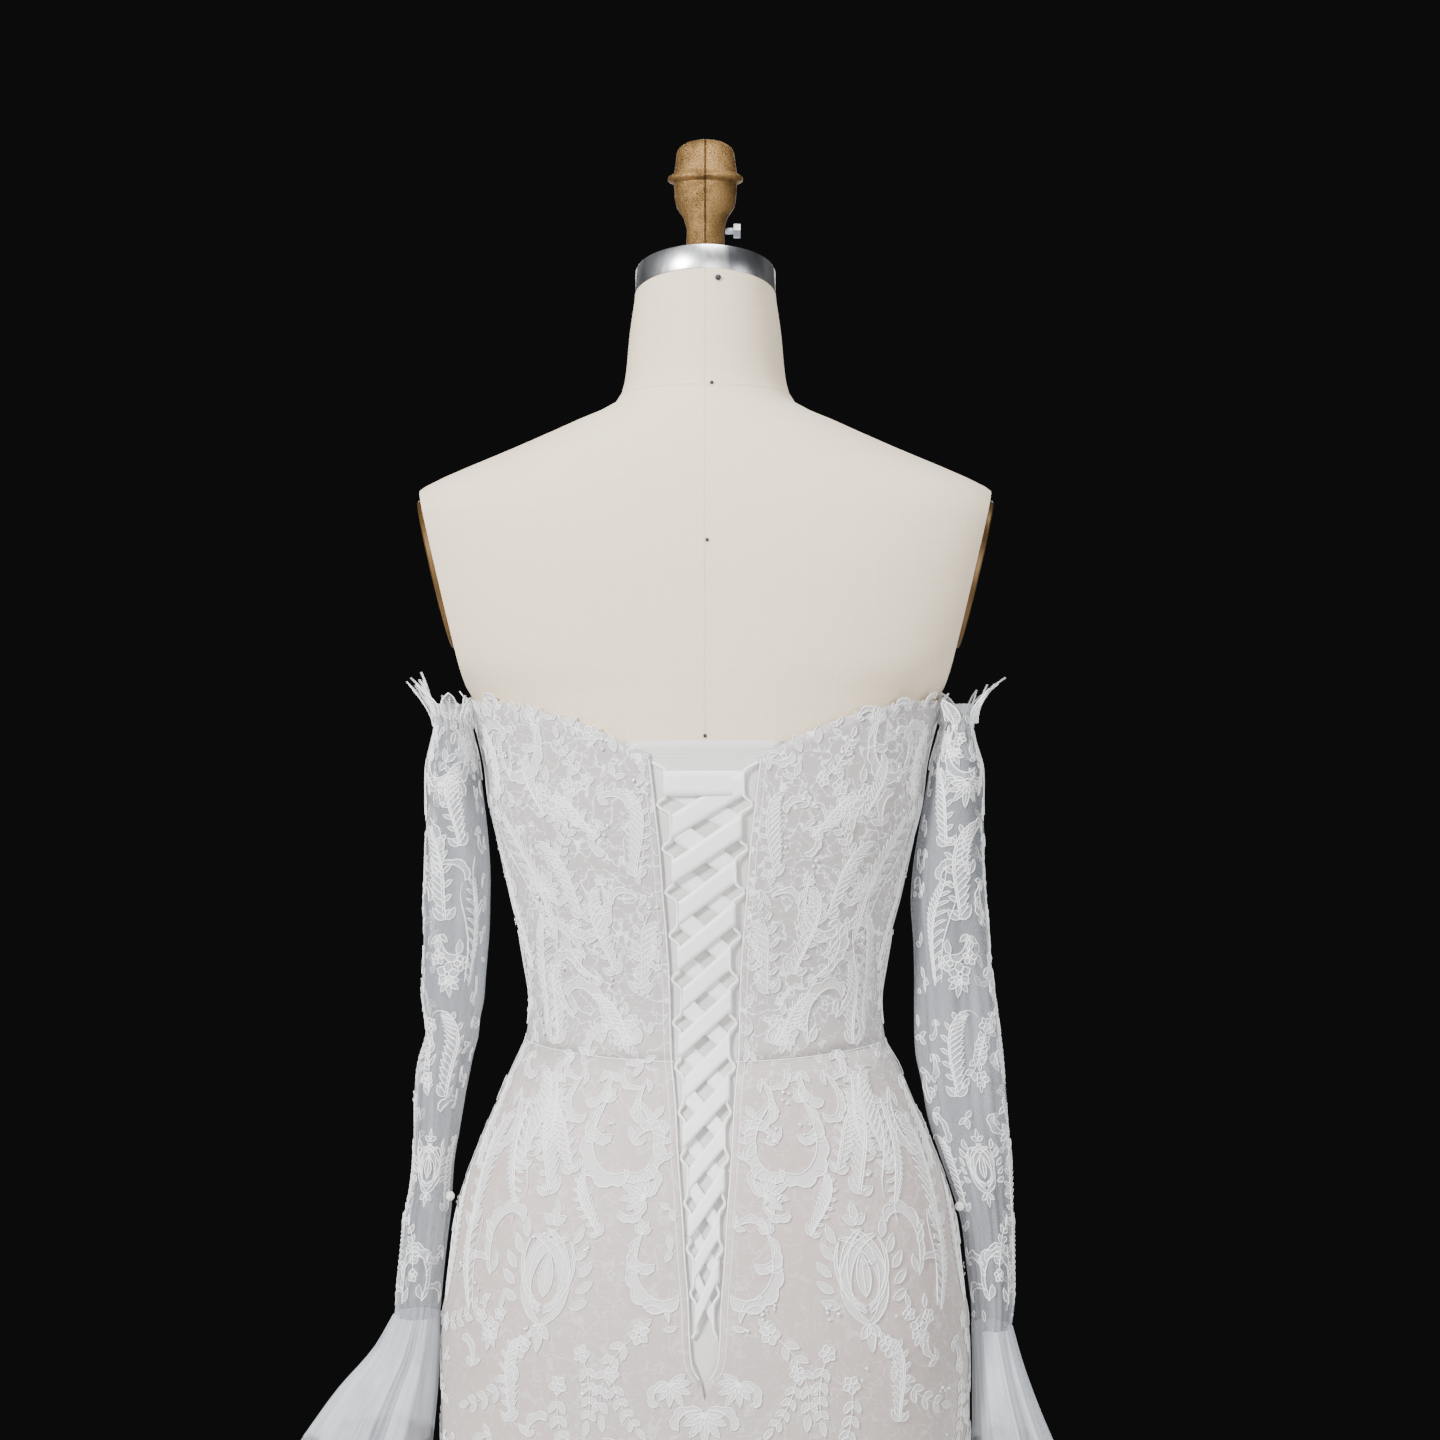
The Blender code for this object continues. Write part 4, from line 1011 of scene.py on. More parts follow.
def layBodice():
    # motif, share of the girth from the centre back, height, turn, size, side
    layout = (
        ("plume", 0.066, 1.118, 6, 0.92, 1), ("plume", 0.060, 1.196, -14, 0.80, -1), ("swirl", 0.105, 1.083, 10, 0.85, -1),
        ("blossoms", 0.118, 1.243, 0, 0.95, 1), ("reed", 0.150, 1.150, -12, 1.05, 1), ("reed", 0.176, 1.092, -4, 0.95, -1),
        ("plume", 0.205, 1.180, -10, 1.0, 1), ("swirl", 0.138, 1.100, -25, 0.8, 1), ("plume", 0.238, 1.092, 2, 0.95, 1),
        ("hook", 0.092, 1.190, 20, 0.75, 1), ("sprig", 0.096, 1.262, -50, 0.7, 1), ("blossoms", 0.084, 1.090, 15, 0.75, -1),
        ("reed", 0.270, 1.120, 8, 1.1, -1), ("blossoms", 0.300, 1.195, 0, 1.0, 1), ("plume", 0.325, 1.110, -8, 1.1, -1),
        ("swirl", 0.345, 1.235, 30, 1.0, 1), ("plume", 0.375, 1.160, 10, 1.15, 1), ("medallion", 0.425, 1.150, 0, 0.95, 1),
        ("reed", 0.400, 1.225, 22, 0.9, -1), ("swirl", 0.410, 1.085, 0, 0.9, -1), ("plume", 0.462, 1.220, 25, 0.95, -1),
        ("garland", 0.470, 1.090, 4, 0.9, 1), ("palmette", 0.050, 1.148, 100, 0.6, 1), ("sprig", 0.128, 1.205, 20, 0.8, 1),
        ("swirl", 0.120, 1.140, 40, 0.75, -1), ("plume", 0.090, 1.130, -18, 0.85, 1), ("hook", 0.140, 1.300, 12, 0.8, 1),
        ("sprig", 0.190, 1.240, -16, 0.9, -1), ("curl", 0.072, 1.262, 30, 1.1, 1), ("swirl", 0.080, 1.228, -70, 0.6, 1),
        ("hook", 0.225, 1.290, 0, 0.9, -1), ("sprig", 0.216, 1.110, 10, 0.8, 1), ("plume", 0.158, 1.082, -8, 0.8, 1),
        ("hook", 0.290, 1.300, 10, 0.9, 1), ("swirl", 0.320, 1.270, 20, 0.8, -1), ("hook", 0.365, 1.330, 0, 0.9, -1),
        ("sprig", 0.355, 1.090, 0, 0.9, 1), ("swirl", 0.440, 1.265, 0, 0.9, 1), ("plume", 0.285, 1.095, 0, 0.9, 1),
        ("plume", 0.115, 1.168, 12, 0.80, -1), ("swirl", 0.060, 1.176, 15, 0.62, 1), ("reed", 0.198, 1.130, -14, 0.9, 1),
        ("plume", 0.132, 1.236, -30, 0.62, 1), ("plume", 0.088, 1.222, 38, 0.60, -1), ("swirl", 0.165, 1.262, -20, 0.6, 1),
        ("plume", 0.072, 1.084, 30, 0.62, -1), ("hook", 0.112, 1.128, 150, 0.7, 1), ("palmette", 0.150, 1.185, 35, 0.7, 1),
        ("plume", 0.180, 1.250, 10, 0.68, -1), ("swirl", 0.205, 1.270, 30, 0.7, 1),
    )
    for row in layout:
        bodiceLace.both(*row)
    bodiceLace.put("palmette", 0.5, 1.243, 0, 0.9)
    # lobes that stand above the neckline
    draw = random.Random(11)
    count = 62
    for k in range(count):
        share = (k + 0.5) / count
        if min(share, 1 - share) < 0.062:
            continue
        top = float(neckline(gownSkin.turnAt(share, 1.30)))
        name, size = draw.choice((("star", 1.25), ("curl", 0.72), ("pair", 0.85), ("bud", 1.5), ("curl", 0.65)))
        bodiceLace.put(name, share, top - 0.0045, draw.uniform(-35, 35), size, draw.choice((-1, 1)))
    bodiceLace.fill(("curl", "curl", "pair"), 1.076, 1.330, 0.011, 0.0062, 3, (0.8, 1.2))


def laySkirt():
    layout = (
        # round the hips, as far down as the photograph reaches
        ("swirl", 0.062, 1.048, 150, 0.95, 1), ("hook", 0.088, 1.046, 6, 1.0, -1), ("palmette", 0.045, 0.985, -62, 0.85, 1),
        ("curl", 0.036, 1.010, 20, 1.2, 1), ("hook", 0.046, 0.962, 10, 0.95, -1), ("plume", 0.122, 0.985, -20, 1.0, 1),
        ("medallion", 0.118, 0.912, 4, 1.15, 1), ("plume", 0.155, 1.000, -10, 0.95, -1), ("swirl", 0.165, 0.930, 0, 0.9, 1),
        ("plume", 0.195, 0.960, -6, 1.1, 1), ("sprig", 0.085, 0.880, 160, 0.9, 1), ("garland", 0.050, 0.895, 128, 0.9, -1),
        ("sprig", 0.064, 0.868, 190, 0.8, -1), ("palmette", 0.024, 0.866, 150, 0.8, 1), ("garland", 0.135, 0.880, 200, 0.95, 1),
        ("sprig", 0.104, 0.858, 175, 0.95, -1), ("blossoms", 0.160, 0.895, 0, 0.8, 1), ("swirl", 0.030, 0.900, 60, 0.65, 1),
        ("reed", 0.228, 0.905, 4, 1.0, 1), ("plume", 0.262, 0.985, 8, 1.0, -1), ("medallion", 0.300, 0.925, 0, 0.95, 1),
        ("hook", 0.285, 1.055, 0, 0.95, 1), ("plume", 0.340, 0.975, -6, 1.1, 1), ("swirl", 0.330, 0.905, 10, 0.9, -1),
        ("plume", 0.388, 0.955, 4, 1.1, -1), ("hook", 0.395, 1.050, 0, 0.95, -1), ("medallion", 0.445, 0.930, 0, 1.0, 1),
        ("swirl", 0.462, 1.010, 20, 1.0, 1), ("garland", 0.260, 0.885, 190, 0.9, -1), ("garland", 0.400, 0.880, 180, 0.9, 1),
        ("palmette", 0.355, 0.868, 170, 0.8, 1), ("plume", 0.142, 1.062, 168, 0.75, 1), ("plume", 0.105, 1.000, 24, 0.8, -1),
        ("swirl", 0.185, 1.052, 170, 0.8, 1), ("plume", 0.218, 1.058, 176, 0.9, -1), ("reed", 0.168, 1.045, 172, 0.8, 1),
        ("swirl", 0.052, 1.062, 172, 0.6, -1), ("swirl", 0.112, 1.066, 160, 0.6, -1), ("curl", 0.090, 1.066, 170, 1.2, 1),
        ("curl", 0.036, 1.045, 190, 1.2, -1), ("curl", 0.060, 1.020, 30, 1.2, 1),
        ("plume", 0.078, 0.960, -34, 0.62, 1), ("reed", 0.185, 0.905, 10, 0.8, -1), ("plume", 0.142, 0.835, -6, 0.8, 1),
    )
    for row in layout:
        skirtLace.both(*row)
    skirtLace.put("palmette", 0.0, 0.846, 180, 0.95)
    # down to the hem: columns of larger motifs that grow with the cloth
    rows = (
        (0.790, 12, ("garland", "swirl", "sprig"), 1.2, 180), (0.680, 10, ("hook", "sprig"), 1.4, 0),
        (0.530, 10, ("garland", "swirl"), 1.6, 0), (0.370, 10, ("swirl", "hook"), 1.8, 0),
        (0.210, 12, ("garland", "hook"), 1.8, 0), (0.040, 16, ("palmette", "sprig"), 1.7, 0),
    )
    for z, count, names, size, turn in rows:
        for k in range(count // 2):
            share = (k + 0.5) / count
            skirtLace.both(names[k % len(names)], share, z, turn + 12 * math.sin(2 * k), size, 1 if k % 2 else -1)
    skirtLace.fill(("curl", "curl", "pair"), 0.955, 1.072, 0.012, 0.0085, 5, (0.9, 1.3))
    skirtLace.fill(("curl", "curl", "pair", "sprig"), 0.790, 0.955, 0.019, 0.0100, 7, (0.8, 1.15))
    skirtLace.fill(("curl", "pair"), 0.180, 0.780, 0.078, 0.026, 8, (1.6, 2.2))
    skirtLace.fill(("curl", "pair"), 0.020, 0.180, 0.060, 0.022, 9, (1.6, 2.2))


print("lace on the bodice")
bodiceLace = Lace(gownSkin, openCloth)
layBodice()
bodiceBands = ((-0.5, -0.25, 0, 2), (-0.25, 0.0, 0, 2), (0.0, 0.25, 0, 2), (0.25, 0.5, 0, 2))
bodiceMade = bodiceLace.finish("bodiceLace", bodiceBands, threadFinish, bladeFill)
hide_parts(*(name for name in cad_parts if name.startswith("neckline_lace")))
print("lace on the skirt")
skirtLace = Lace(gownSkin, openCloth)
laySkirt()
skirtBands = (
    (-0.5, -0.25, 0.78, 2), (-0.25, 0.0, 0.78, 2), (0.0, 0.25, 0.78, 2), (0.25, 0.5, 0.78, 2),
    (-0.5, 0.0, 0.30, 0.78), (0.0, 0.5, 0.30, 0.78), (-0.5, 0.0, 0, 0.30), (0.0, 0.5, 0, 0.30),
)
skirtLace.finish("skirtLace", skirtBands, threadFinish, bladeFill)


# The sleeves and their flounces
sleeveRows = {
    "left": columns(
        "z middleX halfWide",
        (0.892, 0.1979, 0.0160), (0.909, 0.1962, 0.0160), (0.933, 0.1938, 0.0160),
        (0.963, 0.1906, 0.0165), (0.977, 0.1884, 0.0150), (0.995, 0.1868, 0.0145),
        (1.015, 0.1850, 0.0160), (1.041, 0.1828, 0.0182), (1.065, 0.1794, 0.0194),
        (1.088, 0.1740, 0.0190), (1.112, 0.1741, 0.0229), (1.134, 0.1730, 0.0234),
        (1.154, 0.1720, 0.0240), (1.176, 0.1717, 0.0243), (1.198, 0.1709, 0.0235),
        (1.221, 0.1713, 0.0223), (1.245, 0.1726, 0.0208), (1.2685, 0.1737, 0.0190),
        (1.286, 0.1735, 0.0148), (1.3015, 0.1742, 0.0112), (1.311, 0.1772, 0.0102),
    ),
    "right": columns(
        "z middleX halfWide",
        (0.884, 0.1965, 0.0140), (0.896, 0.1972, 0.0150), (0.920, 0.1958, 0.0165),
        (0.953, 0.1938, 0.0185), (0.980, 0.1896, 0.0220), (1.004, 0.1850, 0.0258),
        (1.027, 0.1808, 0.0288), (1.053, 0.1778, 0.0303), (1.071, 0.1752, 0.0316),
        (1.103, 0.1728, 0.0300), (1.128, 0.1712, 0.0284), (1.150, 0.1697, 0.0276),
        (1.174, 0.1680, 0.0276), (1.198, 0.1677, 0.0257), (1.221, 0.1692, 0.0237),
        (1.245, 0.1710, 0.0210), (1.2685, 0.1726, 0.0187), (1.286, 0.1723, 0.0134),
        (1.3015, 0.1733, 0.0104), (1.311, 0.1768, 0.0098),
    ),
}
sleeveDepth = columns(
    "z halfDeep fold",
    (0.890, 0.030, 0.02), (0.960, 0.033, 0.05), (1.060, 0.042, 0.09),
    (1.150, 0.048, 0.10), (1.230, 0.052, 0.06), (1.290, 0.056, 0.02), (1.312, 0.058, 0),
)
cuffRows = {
    "left": columns(
        "drop middleX halfWide halfDeep wave",
        (0.000, 0.1979, 0.0160, 0.030, 0.0008), (0.022, 0.2035, 0.0212, 0.039, 0.0028),
        (0.052, 0.2163, 0.0325, 0.057, 0.0047), (0.086, 0.2295, 0.0425, 0.078, 0.0060),
    ),
    "right": columns(
        "drop middleX halfWide halfDeep wave",
        (0.000, 0.1965, 0.0140, 0.030, 0.0008), (0.022, 0.1993, 0.0160, 0.040, 0.0020),
        (0.052, 0.2042, 0.0204, 0.059, 0.0032), (0.086, 0.2110, 0.0268, 0.080, 0.0040),
    ),
}
cuffWaves = 9


def sleevePoints(sideName, side):
    rows = sleeveRows[sideName]

    def points(turn, z):
        # a turn of 0 faces away from the body; fine upright creases fade towards the top
        angle, z = np.broadcast_arrays(side * np.asarray(turn, float), np.asarray(z, float))
        fold = along(sleeveDepth, "fold", z) * (1 - np.cos(5 * angle + 9 * z)) / 2
        crease = 0.0007 * np.cos(19 * angle + 14 * z + 2 * np.sin(11 * z)) * np.clip((1.25 - z) * 6, 0, 1)
        crease = crease * np.clip(0.55 + 0.45 * np.cos(angle) + np.abs(np.sin(angle)), 0, 1) - 0.0007
        x = along(rows, "middleX", z) + (along(rows, "halfWide", z) * (1 - fold) + crease) * np.cos(angle)
        y = (along(sleeveDepth, "halfDeep", z) * (1 - fold) + crease) * np.sin(angle)
        return np.stack([side * x, y, z], -1)

    return points


def cuffPoints(sideName, side, ripple):
    rows, seamZ = cuffRows[sideName], sleeveRows[sideName]["z"][0] - 0.0003

    def points(turn, z):
        angle, z = np.broadcast_arrays(side * np.asarray(turn, float), np.asarray(z, float))
        drop = seamZ - z
        middle, wide, deep, wave = (along(rows, c, drop, key="drop") for c in ("middleX", "halfWide", "halfDeep", "wave"))
        free = np.clip(0.5 + 0.5 * np.cos(angle) + 0.5 * np.abs(np.sin(angle)), 0, 1)
        big = wave * free * np.cos(cuffWaves * angle + 0.6)
        small = (0.0006 + 0.012 * drop) * ripple["size"] * free
        small = small * np.cos(ripple["count"] * angle + ripple["shift"] + 3 * np.sin(4 * angle)) + ripple["in"]
        x = middle + (wide + big + small) * np.cos(angle)
        y = (deep + big + small) * np.sin(angle)
        return np.stack([side * x, y, z], -1)

    return points


def makeSleeve(sideName, side):
    cut = {"across": 120, "up": 80, "girth": 0.24, "long": 0.43, "flounceGirth": 0.44, "flounceLong": 0.088,
           "flounceArea": {"outer": 0.028, "inner": 0.025}}
    rows = sleeveRows[sideName]
    low, high = rows["z"][0], rows["z"][-1]
    skin = Skin(sleevePoints(sideName, side), low, high, 0.004, 256)
    builder = laidGrid(cut["across"], cut["up"], lambda a, u: skin.at(np.where(a > 0.9999, 0, a), low + u * (high - low)))
    bmesh.ops.remove_doubles(builder, verts=builder.verts, dist=1e-5)
    net = meshPiece(f"sleeveNet_{sideName}", builder, sleeveNet)
    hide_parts(f"sleeve_{sideName}")

    ripples = (
        {"size": 1.0, "count": 37, "shift": 0.0, "in": -0.0005},
        {"size": 0.8, "count": 29, "shift": 1.3, "in": -0.0024},
    )
    seamZ = low - 0.0003
    for layer, ripple in zip(("outer", "inner"), ripples):
        points = cuffPoints(sideName, side, ripple)
        floor = 0.086 - (0.004 if layer == "inner" else 0)
        builder = laidGrid(200, 12, lambda a, u: points(
            math.tau * np.where(a > 0.9999, 0, a),
            seamZ - floor * (1 - u) + (1 - u) ** 3 * 0.0016 * np.cos(math.tau * 7 * a)))
        bmesh.ops.remove_doubles(builder, verts=builder.verts, dist=1e-5)
        flounce = meshPiece(f"flounce_{layer}_{sideName}", builder, cuffNet)
        if layer == "outer":
            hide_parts(f"cuff_ruffle_{sideName}")
    return skin


print("sleeves")
sleeveSkins = {name: makeSleeve(name, side) for name, side in (("left", -1), ("right", 1))}


# The dress form
form = {
    "bottomZ": 0.780, "under": 0.0045, "neckTopZ": 1.591, "tilt": 0.30,
    "tipX": 0.195, "tipZ": 1.457, "lean": 0.237, "across": 112, "up": 132,
}


def neckNormal():
    return Vector((0, form["tilt"], 1)).normalized()


def armholeNormal(side):
    return Vector((side, 0, -form["lean"])).normalized()


def cutAway(builder, place, normal):
    # takes away what is beyond a plane and closes the hole
    everything = builder.verts[:] + builder.edges[:] + builder.faces[:]
    made = bmesh.ops.bisect_plane(
        builder, geom=everything, plane_co=place, plane_no=normal, clear_outer=True, dist=1e-6)
    rim = [e for e in made["geom_cut"] if isinstance(e, bmesh.types.BMEdge)]
    bmesh.ops.contextual_create(builder, geom=rim)


def makeForm():
    skin = Skin(figurePoints, form["bottomZ"], 1.606, 0.003, 384)

    def place(across, up):
        # rows evenly spaced from the bottom of the form to its top
        heights = form["bottomZ"] + up * (1.606 - form["bottomZ"])
        return skin.at(np.where(across > 0.9999, 0, across), heights, -form["under"])

    builder = laidGrid(form["across"], form["up"], place)
    bmesh.ops.remove_doubles(builder, verts=builder.verts, dist=1e-5)
    rims = [e for e in builder.edges if e.is_boundary]
    bmesh.ops.holes_fill(builder, edges=rims)
    for side in (-1, 1):
        cutAway(builder, Vector((side * form["tipX"], 0, form["tipZ"])), armholeNormal(side))
    cutAway(builder, Vector((0, 0, form["neckTopZ"])), neckNormal())
    torso = meshPiece("torso", builder, linenFinish, sharp=35)
    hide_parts("form_torso")


def turned(name, profile, steps, finish, slotName, matrix, sharp=30, narrow=1.0):
    # a profile of (radius, height) spun round its axis
    builder = bmesh.new()
    line = [builder.verts.new((r, 0, z)) for r, z in profile]
    edges = [builder.edges.new(pair) for pair in zip(line, line[1:])]
    bmesh.ops.spin(builder, geom=line + edges, cent=(0, 0, 0), axis=(0, 0, 1), angle=math.tau, steps=steps, use_merge=True)
    bmesh.ops.remove_doubles(builder, verts=builder.verts, dist=1e-5)
    bmesh.ops.scale(builder, verts=builder.verts, vec=(1, narrow, 1))
    builder.transform(matrix)
    bmesh.ops.recalc_face_normals(builder, faces=builder.faces)
    return meshPiece(name, builder, finish, sharp=sharp)


def standing(place, axis):
    return Matrix.Translation(place) @ Vector((0, 0, 1)).rotation_difference(axis).to_matrix().to_4x4()


def makeFittings():
    sizes = {
        "plateTall": 0.052, "plateThick": 0.004, "plateNarrow": 0.70, "belowTip": 0.006, "gap": 0.0003,
        "capTall": 0.0184, "capRadius": 0.0482, "finialZ": 1.6282, "pinRadius": 0.0014,
    }
    tall, thick = sizes["plateTall"], sizes["plateThick"]
    for sideName, side in (("left", -1), ("right", 1)):
        axis = armholeNormal(side)
        down = Vector((-side * form["lean"], 0, -1)).normalized()
        tip = Vector((side * form["tipX"], -0.004, form["tipZ"]))
        place = tip + down * (tall + sizes["belowTip"]) + axis * sizes["gap"]
        inner = tall - 0.0035
        plate = turned(
            f"armholePlate_{sideName}",
            [(0, 0), (inner, 0), (inner, thick * 0.75), (inner * 0.9, thick * 0.95), (inner * 0.6, thick * 1.1), (0, thick * 1.15)],
            64, brownFinish, "armhole_brown", standing(place, axis), narrow=sizes["plateNarrow"])
        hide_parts(f"armhole_plate_{sideName}")
        rim = [(inner + 0.0001, 0.0), (tall - 0.0006, 0.0), (tall, 0.0006), (tall, thick - 0.0008),
               (tall - 0.0008, thick), (inner + 0.0008, thick), (inner + 0.0001, thick - 0.0006), (inner + 0.0001, 0.0)]
        turned(f"armholeRim_{sideName}", rim, 64, rimFinish, "gold_paint", standing(place, axis), narrow=sizes["plateNarrow"])

    neckTop = Vector((0, 0, form["neckTopZ"]))
    r, t = sizes["capRadius"], sizes["capTall"]
    capProfile = [(0, 0), (r - 0.001, 0), (r - 0.0004, 0.0003), (r, 0.001), (r, t - 0.0014), (r - 0.0004, t - 0.0005),
                  (r - 0.0014, t), (r - 0.0030, t), (r - 0.0042, t - 0.0012), (0, t - 0.0012)]
    cap = turned("neckCap", capProfile, 96, steelFinish, "steel", standing(neckTop + neckNormal() * sizes["gap"], neckNormal()))
    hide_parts("neck_cap")

    knob = columns(
        "z radius",
        (-0.0300, 0.0132), (0.0000, 0.0132), (0.0092, 0.0128), (0.0171, 0.0152), (0.0237, 0.0196),
        (0.0303, 0.0211), (0.0368, 0.0214), (0.0402, 0.0218), (0.0413, 0.0236), (0.0423, 0.0256),
        (0.0431, 0.0260), (0.0441, 0.0260), (0.0449, 0.0256), (0.0461, 0.0240), (0.0472, 0.0222), (0.0480, 0.0216),
        (0.0566, 0.0204), (0.0615, 0.0198), (0.0640, 0.0188), (0.0665, 0.0165), (0.0690, 0.0120), (0.0704, 0.0060), (0.0708, 0.0),
    )
    builder = bmesh.new()
    line = [builder.verts.new((radius, 0, z + sizes["finialZ"])) for radius, z in zip(knob["radius"], knob["z"])]
    edges = [builder.edges.new(pair) for pair in zip(line, line[1:])]
    bmesh.ops.spin(builder, geom=line + edges, cent=(0, 0, 0), axis=(0, 0, 1), angle=math.tau, steps=64, use_merge=True)
    bmesh.ops.remove_doubles(builder, verts=builder.verts, dist=1e-5)
    bmesh.ops.holes_fill(builder, edges=[e for e in builder.edges if e.is_boundary])
    bmesh.ops.recalc_face_normals(builder, faces=builder.faces)
    cutAway(builder, neckTop + neckNormal() * (t - 0.0006), -neckNormal())
    finial = meshPiece("finialKnob", builder, goldFinish, sharp=40)
    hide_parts("finial")

    # share of the girth and height
    pins = ((0.028, 1.5845), (0.012, 1.5200), (0.0012, 1.4195), (0.0, 1.2895))
    skin = Skin(figurePoints, 1.28, 1.606, 0.003, 384)
    builder = bmesh.new()
    for k, (share, z) in enumerate(pins):
        spot = Vector(skin.at(share, z, -form["under"] + 0.0004))
        size = sizes["pinRadius"] * (1.5 if k == 0 else 0.9)
        bmesh.ops.create_uvsphere(builder, u_segments=16, v_segments=10, radius=size, matrix=Matrix.Translation(spot))
    pinHeads = meshPiece("pinHeads", builder, pinFinish)

    looks = {"set_screw": steelFinish, "stand_pole": blackFinish, "stand_base": blackFinish,
             "pearl_button_left": pearlFinish, "pearl_button_right": pearlFinish}
    for nodeName, finish in looks.items():
        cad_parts[nodeName].material_slots[0].material = finish.material


print("form")
makeForm()
makeFittings()


# What is sewn on the sleeves
def laySleeve(sideName, side, skin):
    looks = {"seed": 21, "reach": 0.32, "shift": 0.15, "crownLow": 1.262}
    towards = -side  # shares grow towards the back
    low, high = sleeveRows[sideName]["z"][0], sleeveRows[sideName]["z"][-1]

    def outside(shares, heights):
        middle = np.remainder(shares + 0.5, 1.0) - 0.5
        return (np.abs(middle - towards * looks["shift"]) < looks["reach"]) & (heights > low + 0.003) & (heights < high + 0.001)

    lace = Lace(skin, outside, 0.005)
    layout = (
        ("plume", 0.08, 1.165, 6, 0.95, 1), ("plume", -0.13, 1.165, -4, 0.85, -1), ("reed", 0.17, 1.120, 4, 0.85, -1),
        ("plume", 0.12, 1.215, -10, 0.80, -1), ("blossoms", 0.09, 1.128, 0, 0.85, 1), ("sprig", 0.02, 1.090, 170, 0.8, 1),
        ("swirl", 0.05, 1.195, 0, 0.7, 1), ("plume", 0.14, 1.045, 0, 0.85, 1), ("garland", 0.05, 1.060, 4, 0.7, 1),
        ("swirl", -0.09, 1.085, 0, 0.7, -1), ("medallion", 0.09, 0.985, 0, 0.62, 1), ("sprig", -0.12, 1.000, 0, 0.8, 1),
        ("swirl", 0.13, 0.905, 0, 0.72, 1), ("swirl", 0.02, 0.902, 0, 0.72, -1), ("plume", -0.04, 0.955, 0, 0.8, 1),
        ("plume", 0.22, 0.965, 0, 0.75, -1), ("hook", 0.02, 1.290, 10, 0.65, 1), ("hook", 0.13, 1.294, -10, 0.65, -1),
        ("palmette", 0.08, 1.258, 180, 0.75, 1), ("swirl", -0.16, 1.235, 0, 0.75, 1), ("plume", -0.16, 1.050, 0, 0.8, -1),
        ("sprig", 0.07, 0.925, 0, 0.7, 1), ("plume", -0.13, 0.905, 0, 0.8, -1), ("curl", 0.06, 1.155, 180, 1.0, 1),
    )
    for name, share, z, turn, size, flip in layout:
        lace.put(name, towards * (share + looks["shift"]), z, turn * towards, size, flip * towards)
    span = tuple(sorted(towards * (looks["shift"] + end * looks["reach"]) for end in (-1, 1)))
    lace.fill(("curl", "curl", "pair"), low + 0.006, high - 0.004, 0.013, 0.0070, looks["seed"], (0.7, 1.1), span=span)
    # the band of lace round the top, above the sheer net
    everywhere = Lace(skin, lambda shares, heights: heights < high + 0.002, 0.005)
    for k in range(13):
        name = ("palmette", "blossoms", "curl", "swirl")[k % 4]
        everywhere.put(name, (k + 0.4) / 13, 1.278 + 0.006 * math.sin(2.4 * k), 40 * math.sin(1.7 * k), 0.62, 1 if k % 2 else -1)
    everywhere.fill(("pair", "bud"), looks["crownLow"], high, 0.008, 0.004, 23, (0.7, 1.0))
    lace.cords += everywhere.cords
    lace.blades += everywhere.blades
    lace.finish(f"sleeveLace_{sideName}", ((-0.5, 0.5, 0, 2),), threadFinish, sleeveFill)


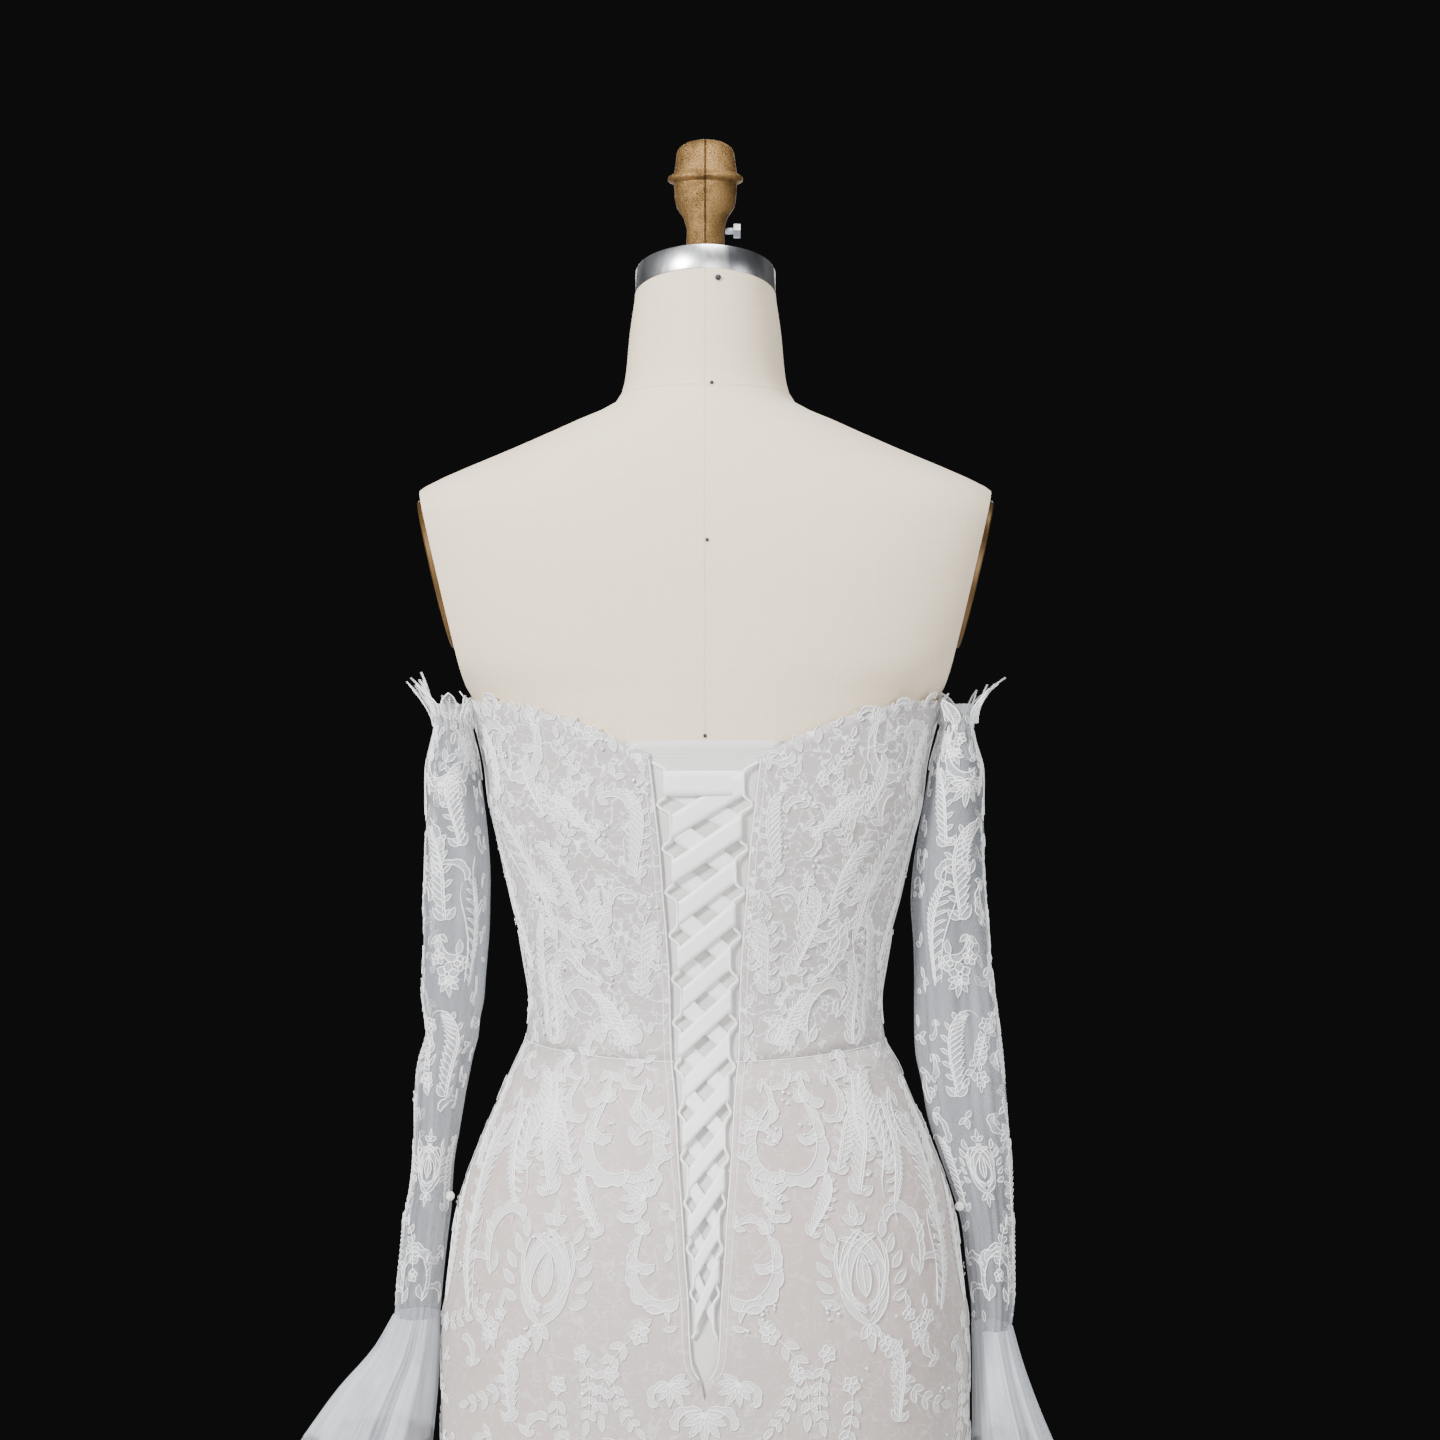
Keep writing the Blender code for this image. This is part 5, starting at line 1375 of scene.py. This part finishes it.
def makeCrown(sideName, side, skin):
    # cut lace leaves that stand up and lean out round the top of a sleeve
    looks = {"leaves": 15, "sit": 0.015, "long": 0.031, "wide": 0.0145, "lean": 0.75, "seed": 31 if side < 0 else 37}
    draw = random.Random(looks["seed"])
    rows = sleeveRows[sideName]
    high = rows["z"][-1]
    builder = bmesh.new()
    outlines = []
    for k in range(looks["leaves"]):
        share = (k + draw.uniform(-0.25, 0.25)) / looks["leaves"]
        outer = 0.5 + 0.5 * math.cos(math.tau * share)
        foot = high - looks["sit"] * draw.uniform(0.5, 1.2)
        long = looks["long"] * (0.38 + 0.62 * outer) * draw.uniform(0.75, 1.12)
        base = Vector(skin.at(share, foot, 0.0008))
        outward = Vector(skin.at(share, foot, 0.0108)) - base
        outward = outward.normalized()
        sideways = Vector(skin.at(share + 0.01, foot, 0.0008)) - base
        sideways = sideways.normalized()
        lean, twist = looks["lean"] * outer * draw.uniform(0.2, 1.2), draw.uniform(-0.8, 0.8)
        left, right, middles = [], [], []
        count = 7
        for row in range(count):
            share2 = row / (count - 1)
            rise = long * share2
            out = lean * long * share2 ** 1.7 + 0.0008 * k % 0.0016
            across = twist * long * share2 ** 1.5 * 0.7
            half = looks["wide"] / 2 * (0.15 + 0.85 * math.sin(math.pi * min(1, share2 * 0.92 + 0.08)) ** 0.8) * (1 if share2 < 1 else 0.02)
            middle = base + Vector((0, 0, rise)) + outward * out + sideways * across
            middles.append(middle + outward * 0.0012)
            left.append(middle - sideways * half)
            right.append(middle + sideways * half)
        grid = bmesh.ops.create_grid(builder, x_segments=2, y_segments=count - 1, size=0.5)["verts"]
        for corner in grid:
            column, row = int(round((corner.co.x + 0.5) * 2)), int(round((corner.co.y + 0.5) * (count - 1)))
            corner.co = (left, middles, right)[column][row]
        outlines.append(left + right[-2::-1])
        outlines.append(middles[:-1])
    leaves = meshPiece(f"crownLeaves_{sideName}", builder, sleeveFill)
    heights = np.array([v.co.z * 1000 for v in leaves.data.vertices])
    leaves.data.attributes.new("stitch", "FLOAT", "POINT").data.foreach_set("value", heights)
    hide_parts(f"sleeve_crown_{sideName}")
    data = bpy.data.curves.new(f"crownCord_{sideName}", "CURVE")
    data.dimensions, data.bevel_depth, data.bevel_resolution = "3D", 0.00055, 0
    for outline in outlines:
        spline = data.splines.new("POLY")
        spline.points.add(len(outline) - 1)
        for corner, spot in zip(spline.points, outline):
            corner.co = (*spot, 1)
    cord = keep(bpy.data.objects.new(f"crownCord_{sideName}", data), threadFinish)


def makeSeams():
    # sewing lines on the gown, and the stitched edges of the placket
    looks = {"radius": 0.35, "lift": 0.0001}
    strands = []
    shares = np.linspace(0.03, 0.97, 400)
    waist = waistline(gownSkin.turnAt(shares, np.full_like(shares, 1.08)))
    strands.append((shares, waist, np.full(400, looks["lift"]), np.full(400, looks["radius"])))
    heights = np.linspace(0.868, 1.274, 220)
    for side in (-1, 1):
        for inset in (0.0007, 0.0050):
            edge = side * (edgeShare(heights) + inset / gownSkin.girth(heights))
            strands.append((edge, heights, np.full(220, looks["lift"]), np.full(220, looks["radius"] * (1.6 if inset < 0.001 else 0.8))))
    threads("seamThreads", strands, gownSkin, threadFinish)


def makeSequins():
    # small flat discs sewn in loose clusters
    looks = {"clusters": 150, "radius": 0.0014, "lift": 0.0012, "seed": 51}
    draw = random.Random(looks["seed"])
    builder = bmesh.new()
    for _ in range(looks["clusters"]):
        high = draw.random() < 0.42
        z = draw.uniform(1.09, 1.29) if high else draw.uniform(0.30, 1.05) if draw.random() < 0.4 else draw.uniform(0.80, 1.05)
        share = draw.uniform(0.03, 0.97)
        for _ in range(draw.choice((2, 3, 3, 5))):
            s, h = share + draw.uniform(-0.006, 0.006), z + draw.uniform(-0.005, 0.005)
            if not bool(openCloth(np.array(s), np.array(h))) or h > float(neckline(gownSkin.turnAt(s, 1.30))):
                continue
            spot = Vector(gownSkin.at(s, h, looks["lift"]))
            normal = Vector(gownSkin.at(s, h, looks["lift"] + 0.01)) - spot
            tilt = Vector((draw.uniform(-1, 1), draw.uniform(-1, 1), draw.uniform(-1, 1))) * 0.45
            aim = (normal.normalized() + tilt).normalized()
            bmesh.ops.create_cone(builder, cap_ends=True, segments=6, radius1=looks["radius"], radius2=looks["radius"] * 0.55,
                                  depth=0.0004, matrix=standing(spot, aim))
    meshPiece("sequins", builder, sequinFinish)


print("sleeves' lace")
for sideName, side in (("left", -1), ("right", 1)):
    laySleeve(sideName, side, sleeveSkins[sideName])
    makeCrown(sideName, side, sleeveSkins[sideName])
makeSeams()
makeSequins()


# Floor, lights and camera
def makeStudio():
    set = {
        "aim": (0.010, 0.0, 1.300), "away": 2.5, "frameWidth": 0.9907, "sensor": 36,
        "floor": (0.80, 0.79, 0.77), "floorRadius": 3.3, "air": (0.006, 0.006, 0.0065),
    }
    builder = bmesh.new()
    bmesh.ops.create_circle(builder, cap_ends=True, segments=96, radius=set["floorRadius"])
    data = bpy.data.meshes.new("floor")
    builder.to_mesh(data)
    builder.free()
    floor = bpy.data.objects.new("floor", data)
    bpy.context.scene.collection.objects.link(floor)
    data.materials.append(makePlain("paleFloor", set["floor"], 0.7, grain=3).material)
    floor.location.z = -0.0005

    world = bpy.data.worlds.new("studioAir")
    bpy.context.scene.world = world
    world.use_nodes = True
    world.node_tree.nodes["Background"].inputs["Color"].default_value = (*set["air"], 1)
    world.node_tree.nodes["Background"].inputs["Strength"].default_value = 1.0

    lamps = (
        # name, place, width, watts
        ("key", (-1.9, -2.3, 2.7), 0.8, 225), ("fill", (2.4, -1.7, 1.6), 1.2, 38), ("middle", (0.5, -3.1, 1.9), 1.6, 38),
        ("front", (0.0, 3.1, 1.9), 1.8, 40), ("top", (0.2, -0.5, 3.6), 1.0, 55),
    )
    for name, spot, width, watts in lamps:
        lamp = bpy.data.lights.new(name, "AREA")
        lamp.shape, lamp.size, lamp.energy = "DISK", width, watts
        thing = bpy.data.objects.new(name, lamp)
        bpy.context.scene.collection.objects.link(thing)
        thing.location = spot
        thing.rotation_euler = (Vector(set["aim"]) - Vector(spot)).to_track_quat("-Z", "Y").to_euler()

    lens = bpy.data.cameras.new("camera")
    lens.sensor_width = set["sensor"]
    lens.lens = set["sensor"] * set["away"] / set["frameWidth"]
    eye = bpy.data.objects.new("camera", lens)
    bpy.context.scene.collection.objects.link(eye)
    eye.location = (set["aim"][0], -set["away"], set["aim"][2])
    eye.rotation_euler = (math.radians(90), 0, 0)
    bpy.context.scene.camera = eye


print("studio")
makeStudio()
